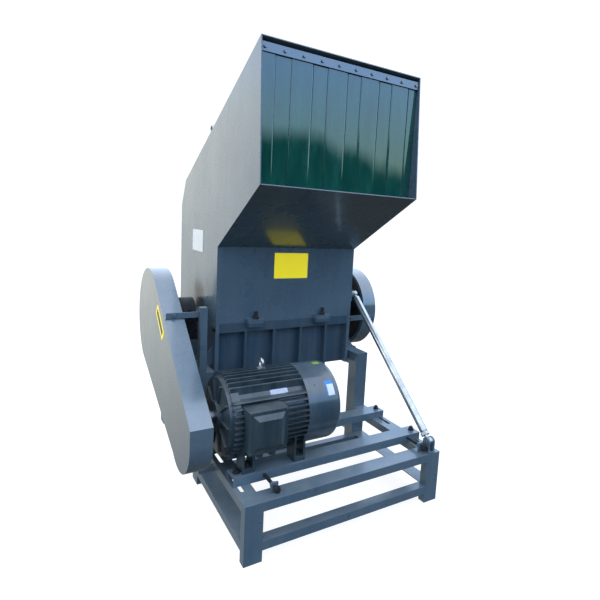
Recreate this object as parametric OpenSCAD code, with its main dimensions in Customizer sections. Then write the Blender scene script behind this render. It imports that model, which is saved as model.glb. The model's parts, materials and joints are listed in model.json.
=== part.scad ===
// Plastic granulator on an open channel frame: side motor, belt drive, tilting hopper.
// X runs left to right seen from the feed mouth, Y runs front to back, Z is up.
// The origin lies on the floor, under the middle of the machine's outline.

/* [Base frame] */
// Height of the top face of the base frame's upper rails
base_h = 320; // [300:5:360]
// Broad side of the frame's channel section
rail_w = 100; // [90:1:110]
// Narrow side of the frame's channel section
rail_h = 50; // [45:1:60]
// Wall of the frame's channel section
rail_t = 6; // [4:0.5:8]
// Gap between the floor and the lower rails
floor_gap = 60; // [40:5:90]
// Depth of the front lower rail
low_rail_d = 60; // [50:1:70]
// Distance from the front posts' face to the chamber's front
post_lead = 85; // [70:5:95]
// Distance from the chamber's back to the back of the rear posts
rear_room = 90; // [90:5:150]
// Gap between the chamber's sides and the beams beside them
beam_gap = 25; // [15:5:40]
// Side of the square posts
post_w = 100; // [80:5:100]
// Wall of the square posts and beams
post_t = 6; // [4:0.5:8]
// Height of the rotor's axis over the posts and the bearing beams
beam_drop = 264; // [240:1:280]

/* [Grinding chamber] */
// Outer width of the chamber and of the hopper
body_w = 1050; // [1030:5:1050]
// Distance from the frame's front face to the chamber's front
body_set = 880; // [870:5:890]
// Space between the bed knives and the chamber's walls
bed_back = 43; // [38:1:60]
// Height of the rotor's axis over the chamber's open underside
chamber_deep = 345; // [330:5:360]
// Height of the seam between the chamber and the hopper over the rotor's axis
seam_up = 20; // [15:1:30]
// Height of the rotor's axis
rotor_h = 1000; // [995:1:1005]
// Thickness of the chamber's side plates
side_t = 25; // [20:1:30]
// Thickness of the chamber's front and rear walls
wall_t = 16; // [12:1:20]
// Depth of the recess between the chamber's ribs
wall_inset = 50; // [40:1:60]
// Height of the flange bar along the seam
flange_h = 62; // [50:1:70]
// Thickness of the upright ribs
rib_t = 16; // [12:1:20]
// Number of upright ribs on each wall
rib_n = 4; // [2:1:5]

/* [Rotor and knives] */
// Radius of the circle that the rotor knives cut
cut_r = 240; // [230:1:242]
// Diameter of the rotor shaft inside the chamber
shaft_d = 140; // [130:1:150]
// Diameter of the rotor shaft in its bearings, pulley and flywheel
journal_d = 110; // [100:1:115]
// Number of star plates on the rotor
star_n = 6; // [4:1:7]
// Thickness of each star plate
star_t = 45; // [35:1:60]
// Number of knife rows round the rotor
knife_rows = 3; // [2:1:3]
// Thickness of every knife bar
knife_t = 16; // [12:1:18]
// Width of every knife bar
knife_w = 95; // [85:1:100]
// Gap between the knife circle and the bed knives
cut_gap = 1; // [0.5:0.1:2]
// Gap between the knife circle and the screen
screen_gap = 8; // [5:0.5:10]
// Thickness of the screen
screen_t = 6; // [4:0.5:8]
// Diameter of the screen's holes
screen_hole_d = 24; // [16:1:40]

/* [Hopper] */
// Thickness of the hopper's sheet
sheet_t = 6; // [4:0.5:8]
// Height over the seam of the bend where the front panel turns out
knee_up = 500; // [480:5:520]
// Distance from the chamber's front out to the mouth's lower lip
lip_out = 627; // [615:1:640]
// Height of the mouth's lower lip over the seam
lip_up = 856; // [840:2:870]
// Distance from the chamber's front out to the mouth's upper edge
brow_out = 579; // [565:1:590]
// Height of the mouth's upper edge over the seam
brow_up = 1586; // [1570:1:1620]
// Distance from the chamber's back to the roof's bend
bevel_run = 110; // [100:1:125]
// Height of the roof's bend over the seam
bend_up = 952; // [940:1:970]
// Height over the seam where the roof's bevel meets the rear wall
eave_up = 768; // [760:1:780]
// Distance from the chamber's back to the axis of the rear hinges
hinge_reach = 30; // [28:1:36]

/* [Curtain] */
// Distance between the strips of the feed curtain
strip_pitch = 111; // [105:1:115]
// Overlap of neighbouring strips
strip_lap = 20; // [10:1:30]
// Thickness of a strip
strip_t = 3; // [2:0.5:4]

/* [Motor] */
// Gap between the motor's fins and the plane of its feet
motor_lift = 5; // [3:1:10]
// Distance between the feet's holes across the motor
foot_a = 375; // [370:1:390]
// Distance between the feet's holes along the motor
foot_b = 305; // [295:1:310]
// Distance from the shaft's shoulder to the first foot holes
foot_c = 150; // [145:1:168]
// Diameter of the foot holes
foot_hole_d = 24; // [20:1:26]
// Radius round the fins
motor_r = 245; // [240:1:248]
// Length of the fan cowl
cowl_len = 220; // [200:5:240]
// Diameter of the motor shaft
motor_shaft_d = 65; // [60:1:75]
// Length of the motor shaft beyond its shoulder
motor_shaft_len = 140; // [130:1:142]
// Distance from the frame's side to the shaft's shoulder, outside the frame
shoulder_out = 55; // [50:1:60]
// Distance from the frame's front face to the motor's axis
motor_set = 416; // [410:1:420]
// Distance between neighbouring cooling fins
fin_pitch = 30; // [26:1:31]
// Number of cooling fins on each of the motor's four sides
fin_n = 10; // [6:2:10]

/* [Drive] */
// Distance from the frame's side to the middle of the belts
belt_line_out = 151; // [149:1:154]
// Gap between the pulleys and the belt guard's face
guard_side = 13.5; // [10:0.5:20]
// Room round the large pulley in the guard's upper end
guard_room = 75; // [60:1:80]
// Room round the small pulley in the guard's lower end
guard_low_room = 100; // [85:1:105]
// Distance from the rotor's axis forward to the middle of the guard's upper end
guard_fore = 40; // [30:1:50]
// Distance from the motor's axis down to the middle of the guard's lower end
guard_low_drop = 68; // [55:1:75]
// Height of the crease in the guard's rim over the middle of its lower end
crease_up = 98; // [88:1:108]
// Gap between the flywheel and its guard's rim
drum_room = 40; // [30:1:50]
// Sheet of both guards
guard_t = 3; // [2:0.5:4]
// Number of belts
belt_n = 5; // [3:1:5]
// Distance between neighbouring belts
belt_pitch = 19; // [18:0.5:19]
// Pitch radius of the large pulley
big_pulley_r = 275; // [265:1:280]
// Pitch radius of the motor pulley
small_pulley_r = 110; // [105:1:115]
// Radius of the flywheel
flywheel_r = 285; // [270:1:290]
// Width of the flywheel's rim
flywheel_w = 75; // [65:1:80]

/* [Hopper jack] */
// Outer diameter of the jack's tube
jack_tube_d = 48; // [45:1:50]
// Wall of the jack's tube
jack_tube_t = 5; // [4:0.5:6]
// Diameter of the jack's screw
jack_screw_d = 30; // [28:1:32]
// Distance from the frame's front face to the jack's lower pivot
jack_low_set = 35; // [32:1:40]
// Height of the jack's lower pivot over the frame
jack_low_h = 65; // [60:1:70]
// Distance from the chamber's front to the jack's upper pivot
jack_top_in = 45; // [40:1:60]
// Height of the jack's upper pivot over the seam
jack_top_up = 152; // [140:1:160]
// Distance from the chamber's side to the middle of the jack
jack_out = 60; // [56:1:62]
// Diameter of the jack's pivot pins
jack_pin_d = 20; // [18:1:24]

/* [Fits] */
// Radial clearance of turning fits
run_fit = 0.05; // [0.02:0.01:0.1]
// Gap between faces that pass each other
pass_gap = 0.5; // [0.3:0.1:1]
// Gap between a curved face and what it is seated against
seat_gap = 0.3; // [0.2:0.1:0.5]

/* [Hidden] */
$fn = 64;

// Chamber and hopper coordinates, with the rotor's axis in the middle of the chamber
body_x = body_w / 2;
inner_x = body_x - side_t;
panel_x = body_x - sheet_t;
knife_edge = cut_r + cut_gap;
wall_y = knife_edge + knife_w + bed_back + wall_t;
body_half = wall_y + wall_inset;
base_len = body_set + body_half + body_half + rear_room;
front_y = -base_len / 2;
back_y = base_len / 2;
body_front = front_y + body_set;
axis_y = body_front + body_half;
body_back = axis_y + body_half;
seam_h = rotor_h + seam_up;
chamber_low = rotor_h - chamber_deep;
knee_h = seam_h + knee_up;
lip_h = seam_h + lip_up;
brow_h = seam_h + brow_up;
bend_h = seam_h + bend_up;
eave_h = seam_h + eave_up;
lip_y = body_front - lip_out;
brow_y = body_front - brow_out;
bend_y = body_back - bevel_run;
hinge_y = body_back + hinge_reach;
roof_slope = (brow_h - bend_h) / (bend_y - brow_y);

// Frame coordinates
left_x = -body_x - beam_gap - post_w;
right_x = body_x + beam_gap + post_w;
leg_top = base_h - rail_h;
low_top = floor_gap + rail_h;
post_top = rotor_h - beam_drop;
post_front = body_front - post_lead;
post_back = post_front + post_w;
rear_post_y = back_y - post_w;
low_side_w = 95;

// Motor coordinates
barrel_fore = 85;
barrel_aft = 45;
cowl_step = 11;
ring_w = 45;
foot_t = 25;
foot_w = 70;
motor_y = front_y + motor_set;
motor_z = base_h + rail_h + motor_r + motor_lift;
shoulder_x = left_x - shoulder_out;
shaft_tip_x = shoulder_x - motor_shaft_len;
foot_xs = [shoulder_x + foot_c, shoulder_x + foot_c + foot_b];
foot_ys = [motor_y - foot_a / 2, motor_y + foot_a / 2];
frame_x = [foot_xs[0] - barrel_fore, foot_xs[1] + barrel_aft];
cowl_r = motor_r - cowl_step;
cowl_end_x = frame_x[1] + cowl_len;

// Drive coordinates
guard_back_side = 11.5;
guard_mid_drop = 10;
guard_low_back = 16;
fly_set = 108;
drum_side_in = 16;
drum_side_out = 29;
belt_x = left_x - belt_line_out;
pulley_w = belt_n * belt_pitch;
guard_x = [belt_x - pulley_w / 2 - guard_side, belt_x + pulley_w / 2 + guard_back_side];
guard_r = big_pulley_r + guard_room;
guard_low_r = small_pulley_r + guard_low_room;
guard_mid = [axis_y - guard_fore, rotor_h - guard_mid_drop];
guard_low = [motor_y + guard_low_back, motor_z - guard_low_drop];
guard_front = guard_low.x - guard_low_r;
fly_x = [right_x + fly_set, right_x + fly_set + flywheel_w];
drum_x = [fly_x[0] - drum_side_in, fly_x[1] + drum_side_out];
drum_r = flywheel_r + drum_room;

// Jack coordinates
jack_x = body_x + jack_out;
jack_low = [front_y + jack_low_set, base_h + jack_low_h];
jack_top = [body_front + jack_top_in, seam_h + jack_top_up];
jack_len = norm(jack_top - jack_low);
jack_lean = atan2(jack_top.x - jack_low.x, jack_top.y - jack_low.y);
jack_eye_w = 24;
jack_eye_r = 25;
ear_t = 12;

// Fastener proportions, as shares of the thread's diameter
head_share = 1.75;
head_h_share = 0.65;
nut_h_share = 0.8;
stud_share = 1.3;
washer_share = 2;
washer_t_share = 0.15;
m20 = 20;
m12 = 12;
m10 = 10;
hole_play = 1;

// Colours
slate = "#465a6e";
motor_green = "#2f3d40";
zinc = "#b9bec2";
steel = "#8d9296";
black_iron = "#33373b";
belt_black = "#1c1c1e";
curtain_green = "#1d5a44";

// Block between the coordinate pairs x, y and z
module block(x, y, z) {
  translate([x[0], y[0], z[0]]) cube([x[1] - x[0], y[1] - y[0], z[1] - z[0]]);
}

// Cylinder of radius r along X over the pair x
module rod_x(x, y, z, r) {
  translate([x[0], y, z]) rotate([0, 90, 0]) cylinder(h = x[1] - x[0], r = r);
}

// Cylinder of radius r along Y over the pair y
module rod_y(x, y, z, r) {
  translate([x, y[0], z]) rotate([-90, 0, 0]) cylinder(h = y[1] - y[0], r = r);
}

// Cylinder of radius r along Z over the pair z
module rod_z(x, y, z, r) {
  translate([x, y, z[0]]) cylinder(h = z[1] - z[0], r = r);
}

// Flat outline in Y and Z, extruded over the pair x
module slice_x(x) {
  translate([x[0], 0, 0]) rotate([90, 0, 90]) linear_extrude(x[1] - x[0]) children();
}

// Flat outline in X and Z, extruded over the pair y
module slice_y(y) {
  translate([0, y[1], 0]) rotate([90, 0, 0]) linear_extrude(y[1] - y[0]) children();
}

// Channel along X with its web on top
module channel_x(x, y, z) {
  difference() {
    block(x, y, z);
    block([x[0] - rail_t, x[1] + rail_t], [y[0] + rail_t, y[1] - rail_t], [z[0] - rail_t, z[1] - rail_t]);
  }
}

// Channel along Y with its web on top
module channel_y(x, y, z) {
  difference() {
    block(x, y, z);
    block([x[0] + rail_t, x[1] - rail_t], [y[0] - rail_t, y[1] + rail_t], [z[0] - rail_t, z[1] - rail_t]);
  }
}

// Square tube along Y, open at both ends
module tube_y(x, y, z, t) {
  difference() {
    block(x, y, z);
    block([x[0] + t, x[1] - t], [y[0] - t, y[1] + t], [z[0] + t, z[1] - t]);
  }
}

// Standing box, closed at its foot and its top
module post(x, y, z, t) {
  difference() {
    block(x, y, z);
    block([x[0] + t, x[1] - t], [y[0] + t, y[1] - t], [z[0] + t, z[1] - t]);
  }
}

// Hexagon head and washer that stand on the origin and point up
module hex_top(d) {
  washer_t = d * washer_t_share;
  cylinder(h = washer_t, d = d * washer_share);
  translate([0, 0, washer_t]) cylinder(h = d * head_h_share, d = d * head_share, $fn = 6);
}

// Upright bolt through the span z: head above it, washer and nut below it
module bolt_z(x, y, z, d) {
  translate([x, y, z[1]]) hex_top(d);
  rod_z(x, y, [z[0] - d * nut_h_share, z[1] + d * stud_share], d / 2);
  translate([x, y, z[0]]) mirror([0, 0, 1]) hex_top(d);
}

// Direction helpers for bent sheets
function unit(v) = v / norm(v);
function left_of(v) = [-v.y, v.x];
function edge_side(p, i) = left_of(unit(p[i + 1] - p[i]));
function corner_side(p, i) =
  let (a = edge_side(p, i - 1), b = edge_side(p, i)) (a + b) / (1 + a * b);
function side_at(p, i) =
  i == 0 ? edge_side(p, 0) : i == len(p) - 1 ? edge_side(p, i - 1) : corner_side(p, i);

// Outline of a bent sheet of thickness t along the line p, with mitred bends
function sheet_line(p, t) =
  concat(p, [for (i = [len(p) - 1:-1:0]) p[i] + t * side_at(p, i)]);

// Unit vector at the angle a
function ray(a) = [cos(a), sin(a)];

// Legs under the front rail
module front_legs() {
  color(slate)
    for (x = [left_x, right_x - rail_w])
      post([x, x + rail_w], [front_y, front_y + rail_h], [0, leg_top], rail_t);
}

// Front rail on the legs, with the two lugs of the tension screws
lug_set_left = 180;
lug_set_right = 110;
lug_xs = [left_x + lug_set_left, right_x - lug_set_right];
lug_w = 40;
lug_t = 12;
lug_h = 55;
lug_y = front_y + rail_h;
screw_up = 32;
screw_z = base_h + screw_up;
module front_top_rail() {
  color(slate) {
    difference() {
      block([left_x, right_x], [front_y, front_y + rail_w], [leg_top, base_h]);
      block([left_x + rail_t, right_x - rail_t], [front_y + rail_t, front_y + rail_w - rail_t],
            [leg_top - rail_t, base_h - rail_t]);
    }
    for (x = lug_xs) tension_lug(x);
  }
}

// Lug and nut of a tension screw
module tension_lug(x) {
  difference() {
    union() {
      block([x - lug_w / 2, x + lug_w / 2], [lug_y, lug_y + lug_t], [base_h, base_h + lug_h]);
      translate([x, lug_y + lug_t, screw_z]) rotate([-90, 0, 0]) hex_top(m20);
    }
    rod_y(x, [lug_y - lug_t, lug_y + lug_t + lug_w], screw_z, m20 / 2 + run_fit);
  }
}

// Lower rail between the front legs
module front_lower_rail() {
  color(slate)
    difference() {
      block([left_x + rail_w, right_x - rail_w], [front_y, front_y + low_rail_d], [floor_gap, low_top]);
      block([left_x + rail_w - rail_t, right_x - rail_w + rail_t],
            [front_y + rail_t, front_y + low_rail_d - rail_t], [floor_gap + rail_t, low_top - rail_t]);
    }
}

// Upper side rails with the slots in which the motor rails slide
rail_bolt_in = 38;
slot_back = 25;
slot_fore_front = 90;
slot_fore_rear = 150;
slot_fore = [slot_fore_front, slot_fore_rear];
module side_rails() {
  color(slate)
    for (x = [left_x, right_x - rail_w])
      difference() {
        channel_y([x, x + rail_w], [front_y + rail_w, post_front], [leg_top, base_h]);
        for (i = [0, 1]) rail_slot(x < 0 ? left_x + rail_bolt_in : right_x - rail_bolt_in, i);
      }
}

// Slot i through a side rail's web
module rail_slot(x, i) {
  slot_r = m20 / 2 + hole_play;
  slot_z = [base_h - rail_h, base_h + rail_h];
  near_y = foot_ys[i] - slot_fore[i];
  far_y = foot_ys[i] + slot_back;
  rod_z(x, near_y, slot_z, slot_r);
  rod_z(x, far_y, slot_z, slot_r);
  block([x - slot_r, x + slot_r], [near_y, far_y], slot_z);
}

// Lower side rails in two stretches, a cross rail before the front posts, and two between the rear posts
module lower_rails() {
  color(slate) {
    for (y = [[front_y + rail_h, post_front], [post_back, rear_post_y]]) {
      block([left_x, left_x + low_side_w], y, [low_top - rail_t, low_top]);
      block([left_x, left_x + rail_t], y, [floor_gap, low_top]);
      block([right_x - low_side_w, right_x], y, [low_top - rail_t, low_top]);
      block([right_x - rail_t, right_x], y, [floor_gap, low_top]);
    }
    block([left_x + low_side_w, right_x - low_side_w], [post_front - rail_h, post_front], [floor_gap, low_top]);
    for (z = [floor_gap, post_top - rail_h])
      block([left_x + post_w, right_x - post_w], [back_y - rail_h, back_y], [z, z + rail_h]);
  }
}

// Posts in front of the chamber
module front_posts() {
  color(slate)
    for (x = [left_x, right_x - post_w])
      post([x, x + post_w], [post_front, post_back], [0, post_top], post_t);
}

// Posts behind the chamber
module rear_posts() {
  color(slate)
    for (x = [left_x, right_x - post_w])
      post([x, x + post_w], [rear_post_y, back_y], [0, post_top], post_t);
}

// Beams between the posts that carry the chamber and the bearings
module bearing_beam(x) {
  color(slate) tube_y(x, [post_back, rear_post_y], [post_top - post_w, post_top], post_t);
}
module bearing_beam_left() {
  bearing_beam([left_x, left_x + post_w]);
}
module bearing_beam_right() {
  bearing_beam([right_x - post_w, right_x]);
}

// Boxes that lift the bearings from the beams to the rotor's axis
pedestal_len = 330;
bearing_h = 150;
pedestal_top = rotor_h - bearing_h;
pedestal_web = 12;
module bearing_pedestals() {
  y = [axis_y - pedestal_len / 2, axis_y + pedestal_len / 2];
  color(slate)
    for (x = [left_x, right_x - post_w])
      difference() {
        block([x, x + post_w], y, [post_top, pedestal_top]);
        for (s = [-1, 1])
          block([x - pedestal_web, x + (post_w - pedestal_web) / 2],
                [axis_y + s * pedestal_len / 4 - pedestal_len / 5, axis_y + s * pedestal_len / 4 + pedestal_len / 5],
                [post_top + pedestal_web, pedestal_top - pedestal_web]);
      }
}

// Channels that carry the motor across the side rails
rail_end_in = 6;
module motor_rail(i) {
  y = foot_ys[i];
  color(slate)
    difference() {
      channel_x([left_x + rail_end_in, right_x - rail_end_in], [y - rail_w / 2, y + rail_w / 2],
                [base_h, base_h + rail_h]);
      for (x = concat(foot_xs, [left_x + rail_bolt_in, right_x - rail_bolt_in]))
        rod_z(x, y, [base_h, base_h + rail_h + rail_h], m20 / 2 + hole_play);
    }
}
module motor_rail_front() {
  motor_rail(0);
}
module motor_rail_rear() {
  motor_rail(1);
}

// Bolts of the motor's feet, and bolts of the motor rails in their slots
module mounting_bolts() {
  web = [base_h + rail_h - rail_t, base_h + rail_h];
  color(black_iron)
    for (y = foot_ys) {
      for (x = foot_xs) bolt_z(x, y, [web[0], web[1] + foot_t], m20);
      for (x = [left_x + rail_bolt_in, right_x - rail_bolt_in]) bolt_z(x, y, [base_h - rail_t, web[1]], m20);
    }
}

// Screws that push the front motor rail back to tension the belts
screw_out = 22;
screw_head_y = lug_y - screw_out;
module tension_screws() {
  rail_face = foot_ys[0] - rail_w / 2 - seat_gap;
  color(black_iron)
    for (x = lug_xs) {
      rod_y(x, [screw_head_y, rail_face], screw_z, m20 / 2);
      translate([x, screw_head_y, screw_z]) rotate([90, 0, 0]) hex_top(m20);
    }
}

// Outline of the finned motor frame, seen along the shaft
fin_root_r = 208;
fin_set = 5;
fin_r = motor_r - fin_set;
fin_half = 2.6;
module fin_outline() {
  circle(fin_root_r);
  intersection() {
    circle(fin_r);
    for (a = [0, 90]) rotate(a)
      for (i = [0:fin_n - 1])
        translate([-fin_r, (i - (fin_n - 1) / 2) * fin_pitch - fin_half]) square([fin_r + fin_r, fin_half + fin_half]);
  }
}

// Motor frame: finned barrel, smooth ring, feet, and pads for the eye bolt and the terminal box
bore_r = 190;
pad_w = 50;
pad_top = motor_z + fin_r + fin_half;
ring_step = 12;
box_set = 50;
box_w = 217;
box_low = 112;
box_high = 115;
eye_set = 235;
box_reach = 316;
lid_deep = 30;
box_x = [frame_x[0] + box_set, frame_x[0] + box_set + box_w];
box_z = [motor_z - box_low, motor_z + box_high];
eye_x = frame_x[0] + eye_set;
box_lid_y = motor_y - box_reach;
box_split_y = box_lid_y + lid_deep;
box_back_y = motor_y - motor_r;
pad_in = 30;
module motor_housing() {
  color(motor_green)
    difference() {
      union() {
        translate([frame_x[0], motor_y, motor_z]) rotate([90, 0, 90])
          linear_extrude(frame_x[1] - frame_x[0]) fin_outline();
        rod_x([frame_x[0], frame_x[0] + ring_w], motor_y, motor_z, fin_root_r + ring_step);
        for (x = foot_xs) for (s = [-1, 1]) motor_foot(x, s);
        block([eye_x - pad_w / 2, eye_x + pad_w / 2], [motor_y - pad_w / 2, motor_y + pad_w / 2], [motor_z + fin_root_r - pad_in, pad_top]);
        block(box_x, [box_back_y, motor_y - fin_root_r / 2], box_z);
      }
      rod_x([frame_x[0] - ring_w, frame_x[1] + ring_w], motor_y, motor_z, bore_r);
    }
}

// One foot with its web up to the barrel; s is the side across the motor
foot_web = 12;
foot_in = 130;
module motor_foot(x, s) {
  outer = motor_y + s * (foot_a / 2 + foot_w / 2);
  inner = motor_y + s * foot_in;
  y = [min(outer, inner), max(outer, inner)];
  top = motor_z - fin_root_r / 2;
  z0 = base_h + rail_h;
  web_y = [min(motor_y + s * (fin_root_r + foot_web), inner), max(motor_y + s * (fin_root_r + foot_web), inner)];
  difference() {
    union() {
      block([x - foot_w / 2, x + foot_w / 2], y, [z0, z0 + foot_t]);
      for (u = [-1, 1])
        block([x + u * foot_w / 2 - (u + 1) * foot_web / 2, x + u * foot_w / 2 - (u - 1) * foot_web / 2],
              web_y, [z0, top]);
    }
    rod_z(x, motor_y + s * foot_a / 2, [z0 - foot_t, z0 + foot_t + foot_t], foot_hole_d / 2);
  }
}

// Laminated stator ring with its winding heads
rotor_core_r = 120;
air_gap = 1;
core_set = 90;
core_x = [frame_x[0] + core_set, frame_x[1] - core_set];
winding_out = 55;
winding_r = 165;
module motor_stator() {
  color("#6b4a2b")
    difference() {
      union() {
        rod_x(core_x, motor_y, motor_z, bore_r - seat_gap);
        rod_x([core_x[0] - winding_out, core_x[1] + winding_out], motor_y, motor_z, winding_r);
      }
      rod_x([core_x[0] - motor_r, core_x[1] + motor_r], motor_y, motor_z, rotor_core_r + air_gap);
    }
}

// End shields: a rimmed disc with ribs and a bearing hub
shield_t = 20;
shield_r = 214;
spigot_r = bore_r - seat_gap;
spigot_w = 10;
hub_r = 85;
bearing_seat_r = 70;
bearing_w = 33;
rib_shield_n = 10;
module motor_drive_shield() {
  x1 = frame_x[0];
  color(motor_green)
    difference() {
      union() {
        rod_x([x1 - shield_t, x1], motor_y, motor_z, shield_r);
        rod_x([x1, x1 + spigot_w], motor_y, motor_z, spigot_r);
        rod_x([x1 - bearing_w - spigot_w, x1 + spigot_w], motor_y, motor_z, hub_r);
        for (i = [0:rib_shield_n - 1])
          translate([x1 - shield_t - spigot_w, motor_y, motor_z]) rotate([i * 360 / rib_shield_n, 0, 0])
            translate([0, hub_r - spigot_w, -spigot_w / 2])
              cube([spigot_w + spigot_w, shield_r - hub_r - spigot_w, spigot_w]);
      }
      rod_x([x1 - bearing_w, x1 + spigot_w + spigot_w], motor_y, motor_z, bearing_seat_r);
      rod_x([x1 - motor_r, x1], motor_y, motor_z, motor_shaft_d / 2 + hole_play);
    }
}

rear_shield_t = 30;
rear_x = [frame_x[1], frame_x[1] + rear_shield_t];
shaft_mid_r = 40;
module motor_rear_shield() {
  color(motor_green)
    difference() {
      union() {
        rod_x(rear_x, motor_y, motor_z, cowl_r - guard_t - seat_gap);
        rod_x([rear_x[0] - spigot_w, rear_x[0]], motor_y, motor_z, spigot_r);
      }
      rod_x([rear_x[0] - spigot_w - spigot_w, rear_x[0] + bearing_w - spigot_w], motor_y, motor_z, bearing_seat_r);
      rod_x([rear_x[0], rear_x[1] + rear_x[1] - rear_x[0]], motor_y, motor_z, shaft_mid_r + hole_play);
    }
}

// Ball bearings of the motor shaft, one in each end shield
drive_bearing_x = [frame_x[0] - bearing_w, frame_x[0]];
rear_bearing_x = [rear_x[0] - spigot_w, rear_x[0] + bearing_w - spigot_w];
module motor_bearings() {
  color(steel)
    for (x = [drive_bearing_x, rear_bearing_x])
      difference() {
        rod_x(x, motor_y, motor_z, bearing_seat_r - run_fit);
        rod_x([x[0] - bearing_w, x[1] + bearing_w], motor_y, motor_z, shaft_mid_r + run_fit);
      }
}

// Fan cowl: rounded cup with a ring grille in its end
cowl_round = 30;
grille_n = 5;
grille_in_r = 70;
grille_out_r = 190;
grille_bar = 10;
spoke_n = 6;
module fan_cowl() {
  color(motor_green)
    difference() {
      translate([rear_x[0], motor_y, motor_z]) rotate([0, 90, 0]) rotate_extrude() cowl_profile();
      difference() {
        for (i = [0:grille_n - 1]) grille_ring(i);
        for (i = [0:spoke_n / 2 - 1])
          translate([cowl_end_x, motor_y, motor_z]) rotate([i * 360 / spoke_n, 0, 0])
            cube([motor_r, motor_r + motor_r, grille_bar], center = true);
      }
    }
}

// Half section of the cowl's skin, radius to the right and length upwards
module cowl_profile() {
  l = cowl_end_x - rear_x[0];
  difference() {
    cup_half(cowl_r, l, cowl_round);
    translate([0, -guard_t]) cup_half(cowl_r - guard_t, l, cowl_round - guard_t);
  }
}
module cup_half(r, l, round_r) {
  square([r - round_r, l]);
  square([r, l - round_r]);
  translate([r - round_r, l - round_r])
    intersection() {
      circle(round_r);
      square(round_r);
    }
}

// Ring-shaped cut i through the cowl's end
module grille_ring(i) {
  step = (grille_out_r - grille_in_r) / grille_n;
  r0 = grille_in_r + i * step;
  difference() {
    rod_x([cowl_end_x - cowl_round, cowl_end_x + cowl_round], motor_y, motor_z, r0 + step - grille_bar);
    rod_x([cowl_end_x - motor_r, cowl_end_x + motor_r], motor_y, motor_z, r0);
  }
}

// Fan on the rear end of the motor shaft
fan_gap = 20;
fan_len = 70;
fan_x = [rear_x[1] + fan_gap, rear_x[1] + fan_gap + fan_len];
fan_r = 165;
fan_hub_r = 60;
fan_disc_t = 8;
blade_n = 7;
blade_t = 6;
fan_seat_r = 30;
module cooling_fan() {
  color(black_iron)
    difference() {
      union() {
        rod_x(fan_x, motor_y, motor_z, fan_hub_r);
        rod_x([fan_x[0], fan_x[0] + fan_disc_t], motor_y, motor_z, fan_r);
        for (i = [0:blade_n - 1])
          translate([fan_x[0], motor_y, motor_z]) rotate([i * 360 / blade_n, 0, 0])
            translate([fan_disc_t / 2, fan_hub_r - blade_t, -blade_t / 2])
              cube([fan_x[1] - fan_x[0] - fan_disc_t, fan_r - fan_hub_r, blade_t]);
      }
      rod_x([fan_x[0] - motor_r, fan_x[1] + motor_r], motor_y, motor_z, fan_seat_r + run_fit);
    }
}

// Motor shaft with its laminated rotor core
module motor_shaft() {
  color(steel) {
    rod_x([shaft_tip_x, drive_bearing_x[0] + pass_gap], motor_y, motor_z, motor_shaft_d / 2);
    rod_x([drive_bearing_x[0] + pass_gap, rear_x[1] + fan_disc_t], motor_y, motor_z, shaft_mid_r);
    rod_x([rear_x[1] + fan_disc_t, fan_x[1] + pass_gap], motor_y, motor_z, fan_seat_r);
    rod_x(core_x, motor_y, motor_z, rotor_core_r);
  }
}

// Terminal box on the front of the motor, open towards its lid
box_wall = 8;
gland_r = 20;
gland_len = 28;
module terminal_box() {
  color(motor_green)
    difference() {
      union() {
        block(box_x, [box_split_y, box_back_y], box_z);
        for (i = [0, 1])
          rod_z(box_x[0] + (box_x[1] - box_x[0]) * (1 + i) / 3, (box_split_y + box_back_y) / 2,
                [box_z[0] - gland_len, box_z[0]], gland_r);
      }
      block([box_x[0] + box_wall, box_x[1] - box_wall], [box_split_y - box_wall, box_back_y - box_wall],
            [box_z[0] + box_wall, box_z[1] - box_wall]);
    }
}

// Lid with a bevelled middle and four corner screws
lid_step = 18;
lid_bevel = 45;
lid_brim = 12;
module terminal_box_lid() {
  rise_y = box_split_y - lid_brim;
  color(motor_green) {
    block(box_x, [rise_y, box_split_y], box_z);
    intersection() {
      slice_x(box_x)
        polygon([[rise_y, box_z[0] + lid_step], [box_lid_y, box_z[0] + lid_bevel],
                 [box_lid_y, box_z[1] - lid_bevel], [rise_y, box_z[1] - lid_step]]);
      translate([0, 0, box_z[0]]) linear_extrude(box_z[1] - box_z[0])
        polygon([[box_x[0] + lid_step, rise_y], [box_x[0] + lid_bevel, box_lid_y],
                 [box_x[1] - lid_bevel, box_lid_y], [box_x[1] - lid_step, rise_y]]);
    }
    for (x = [box_x[0] + lid_step / 2, box_x[1] - lid_step / 2]) for (z = [box_z[0] + lid_step / 2, box_z[1] - lid_step / 2])
      rod_y(x, [rise_y - lid_step / 3, rise_y], z, m10 / 2);
  }
}

// Lifting eye on top of the motor
eye_r = 22;
eye_wire = 7;
module motor_eye_bolt() {
  color(zinc) {
    rod_z(eye_x, motor_y, [pad_top, pad_top + eye_wire], eye_r);
    translate([eye_x, motor_y, pad_top + eye_wire + eye_r]) rotate([90, 0, 90])
      rotate_extrude() translate([eye_r, 0]) circle(eye_wire);
  }
}

// Belt grooves, as depths under and heights over the pitch line
groove_deep = 9;
groove_rim = 5;
groove_root_half = 5;
groove_mouth_half = 8.5;

// Outline of one groove round the pitch radius r at the place c along the rim
function groove(r, c) =
  [[r + groove_rim, c - groove_mouth_half], [r - groove_deep, c - groove_root_half],
   [r - groove_deep, c + groove_root_half], [r + groove_rim, c + groove_mouth_half]];

// Half section of a grooved rim from the radius r0 to the pitch radius r
module grooved_rim(r0, r) {
  half = pulley_w / 2;
  polygon(concat([[r0, -half], [r + groove_rim, -half]],
                 [for (i = [0:belt_n - 1]) each groove(r, (i - (belt_n - 1) / 2) * belt_pitch)],
                 [[r + groove_rim, half], [r0, half]]));
}

module motor_pulley() {
  color(black_iron)
    translate([belt_x, motor_y, motor_z]) rotate([0, 90, 0])
      rotate_extrude() grooved_rim(motor_shaft_d / 2 + run_fit, small_pulley_r);
}

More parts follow.
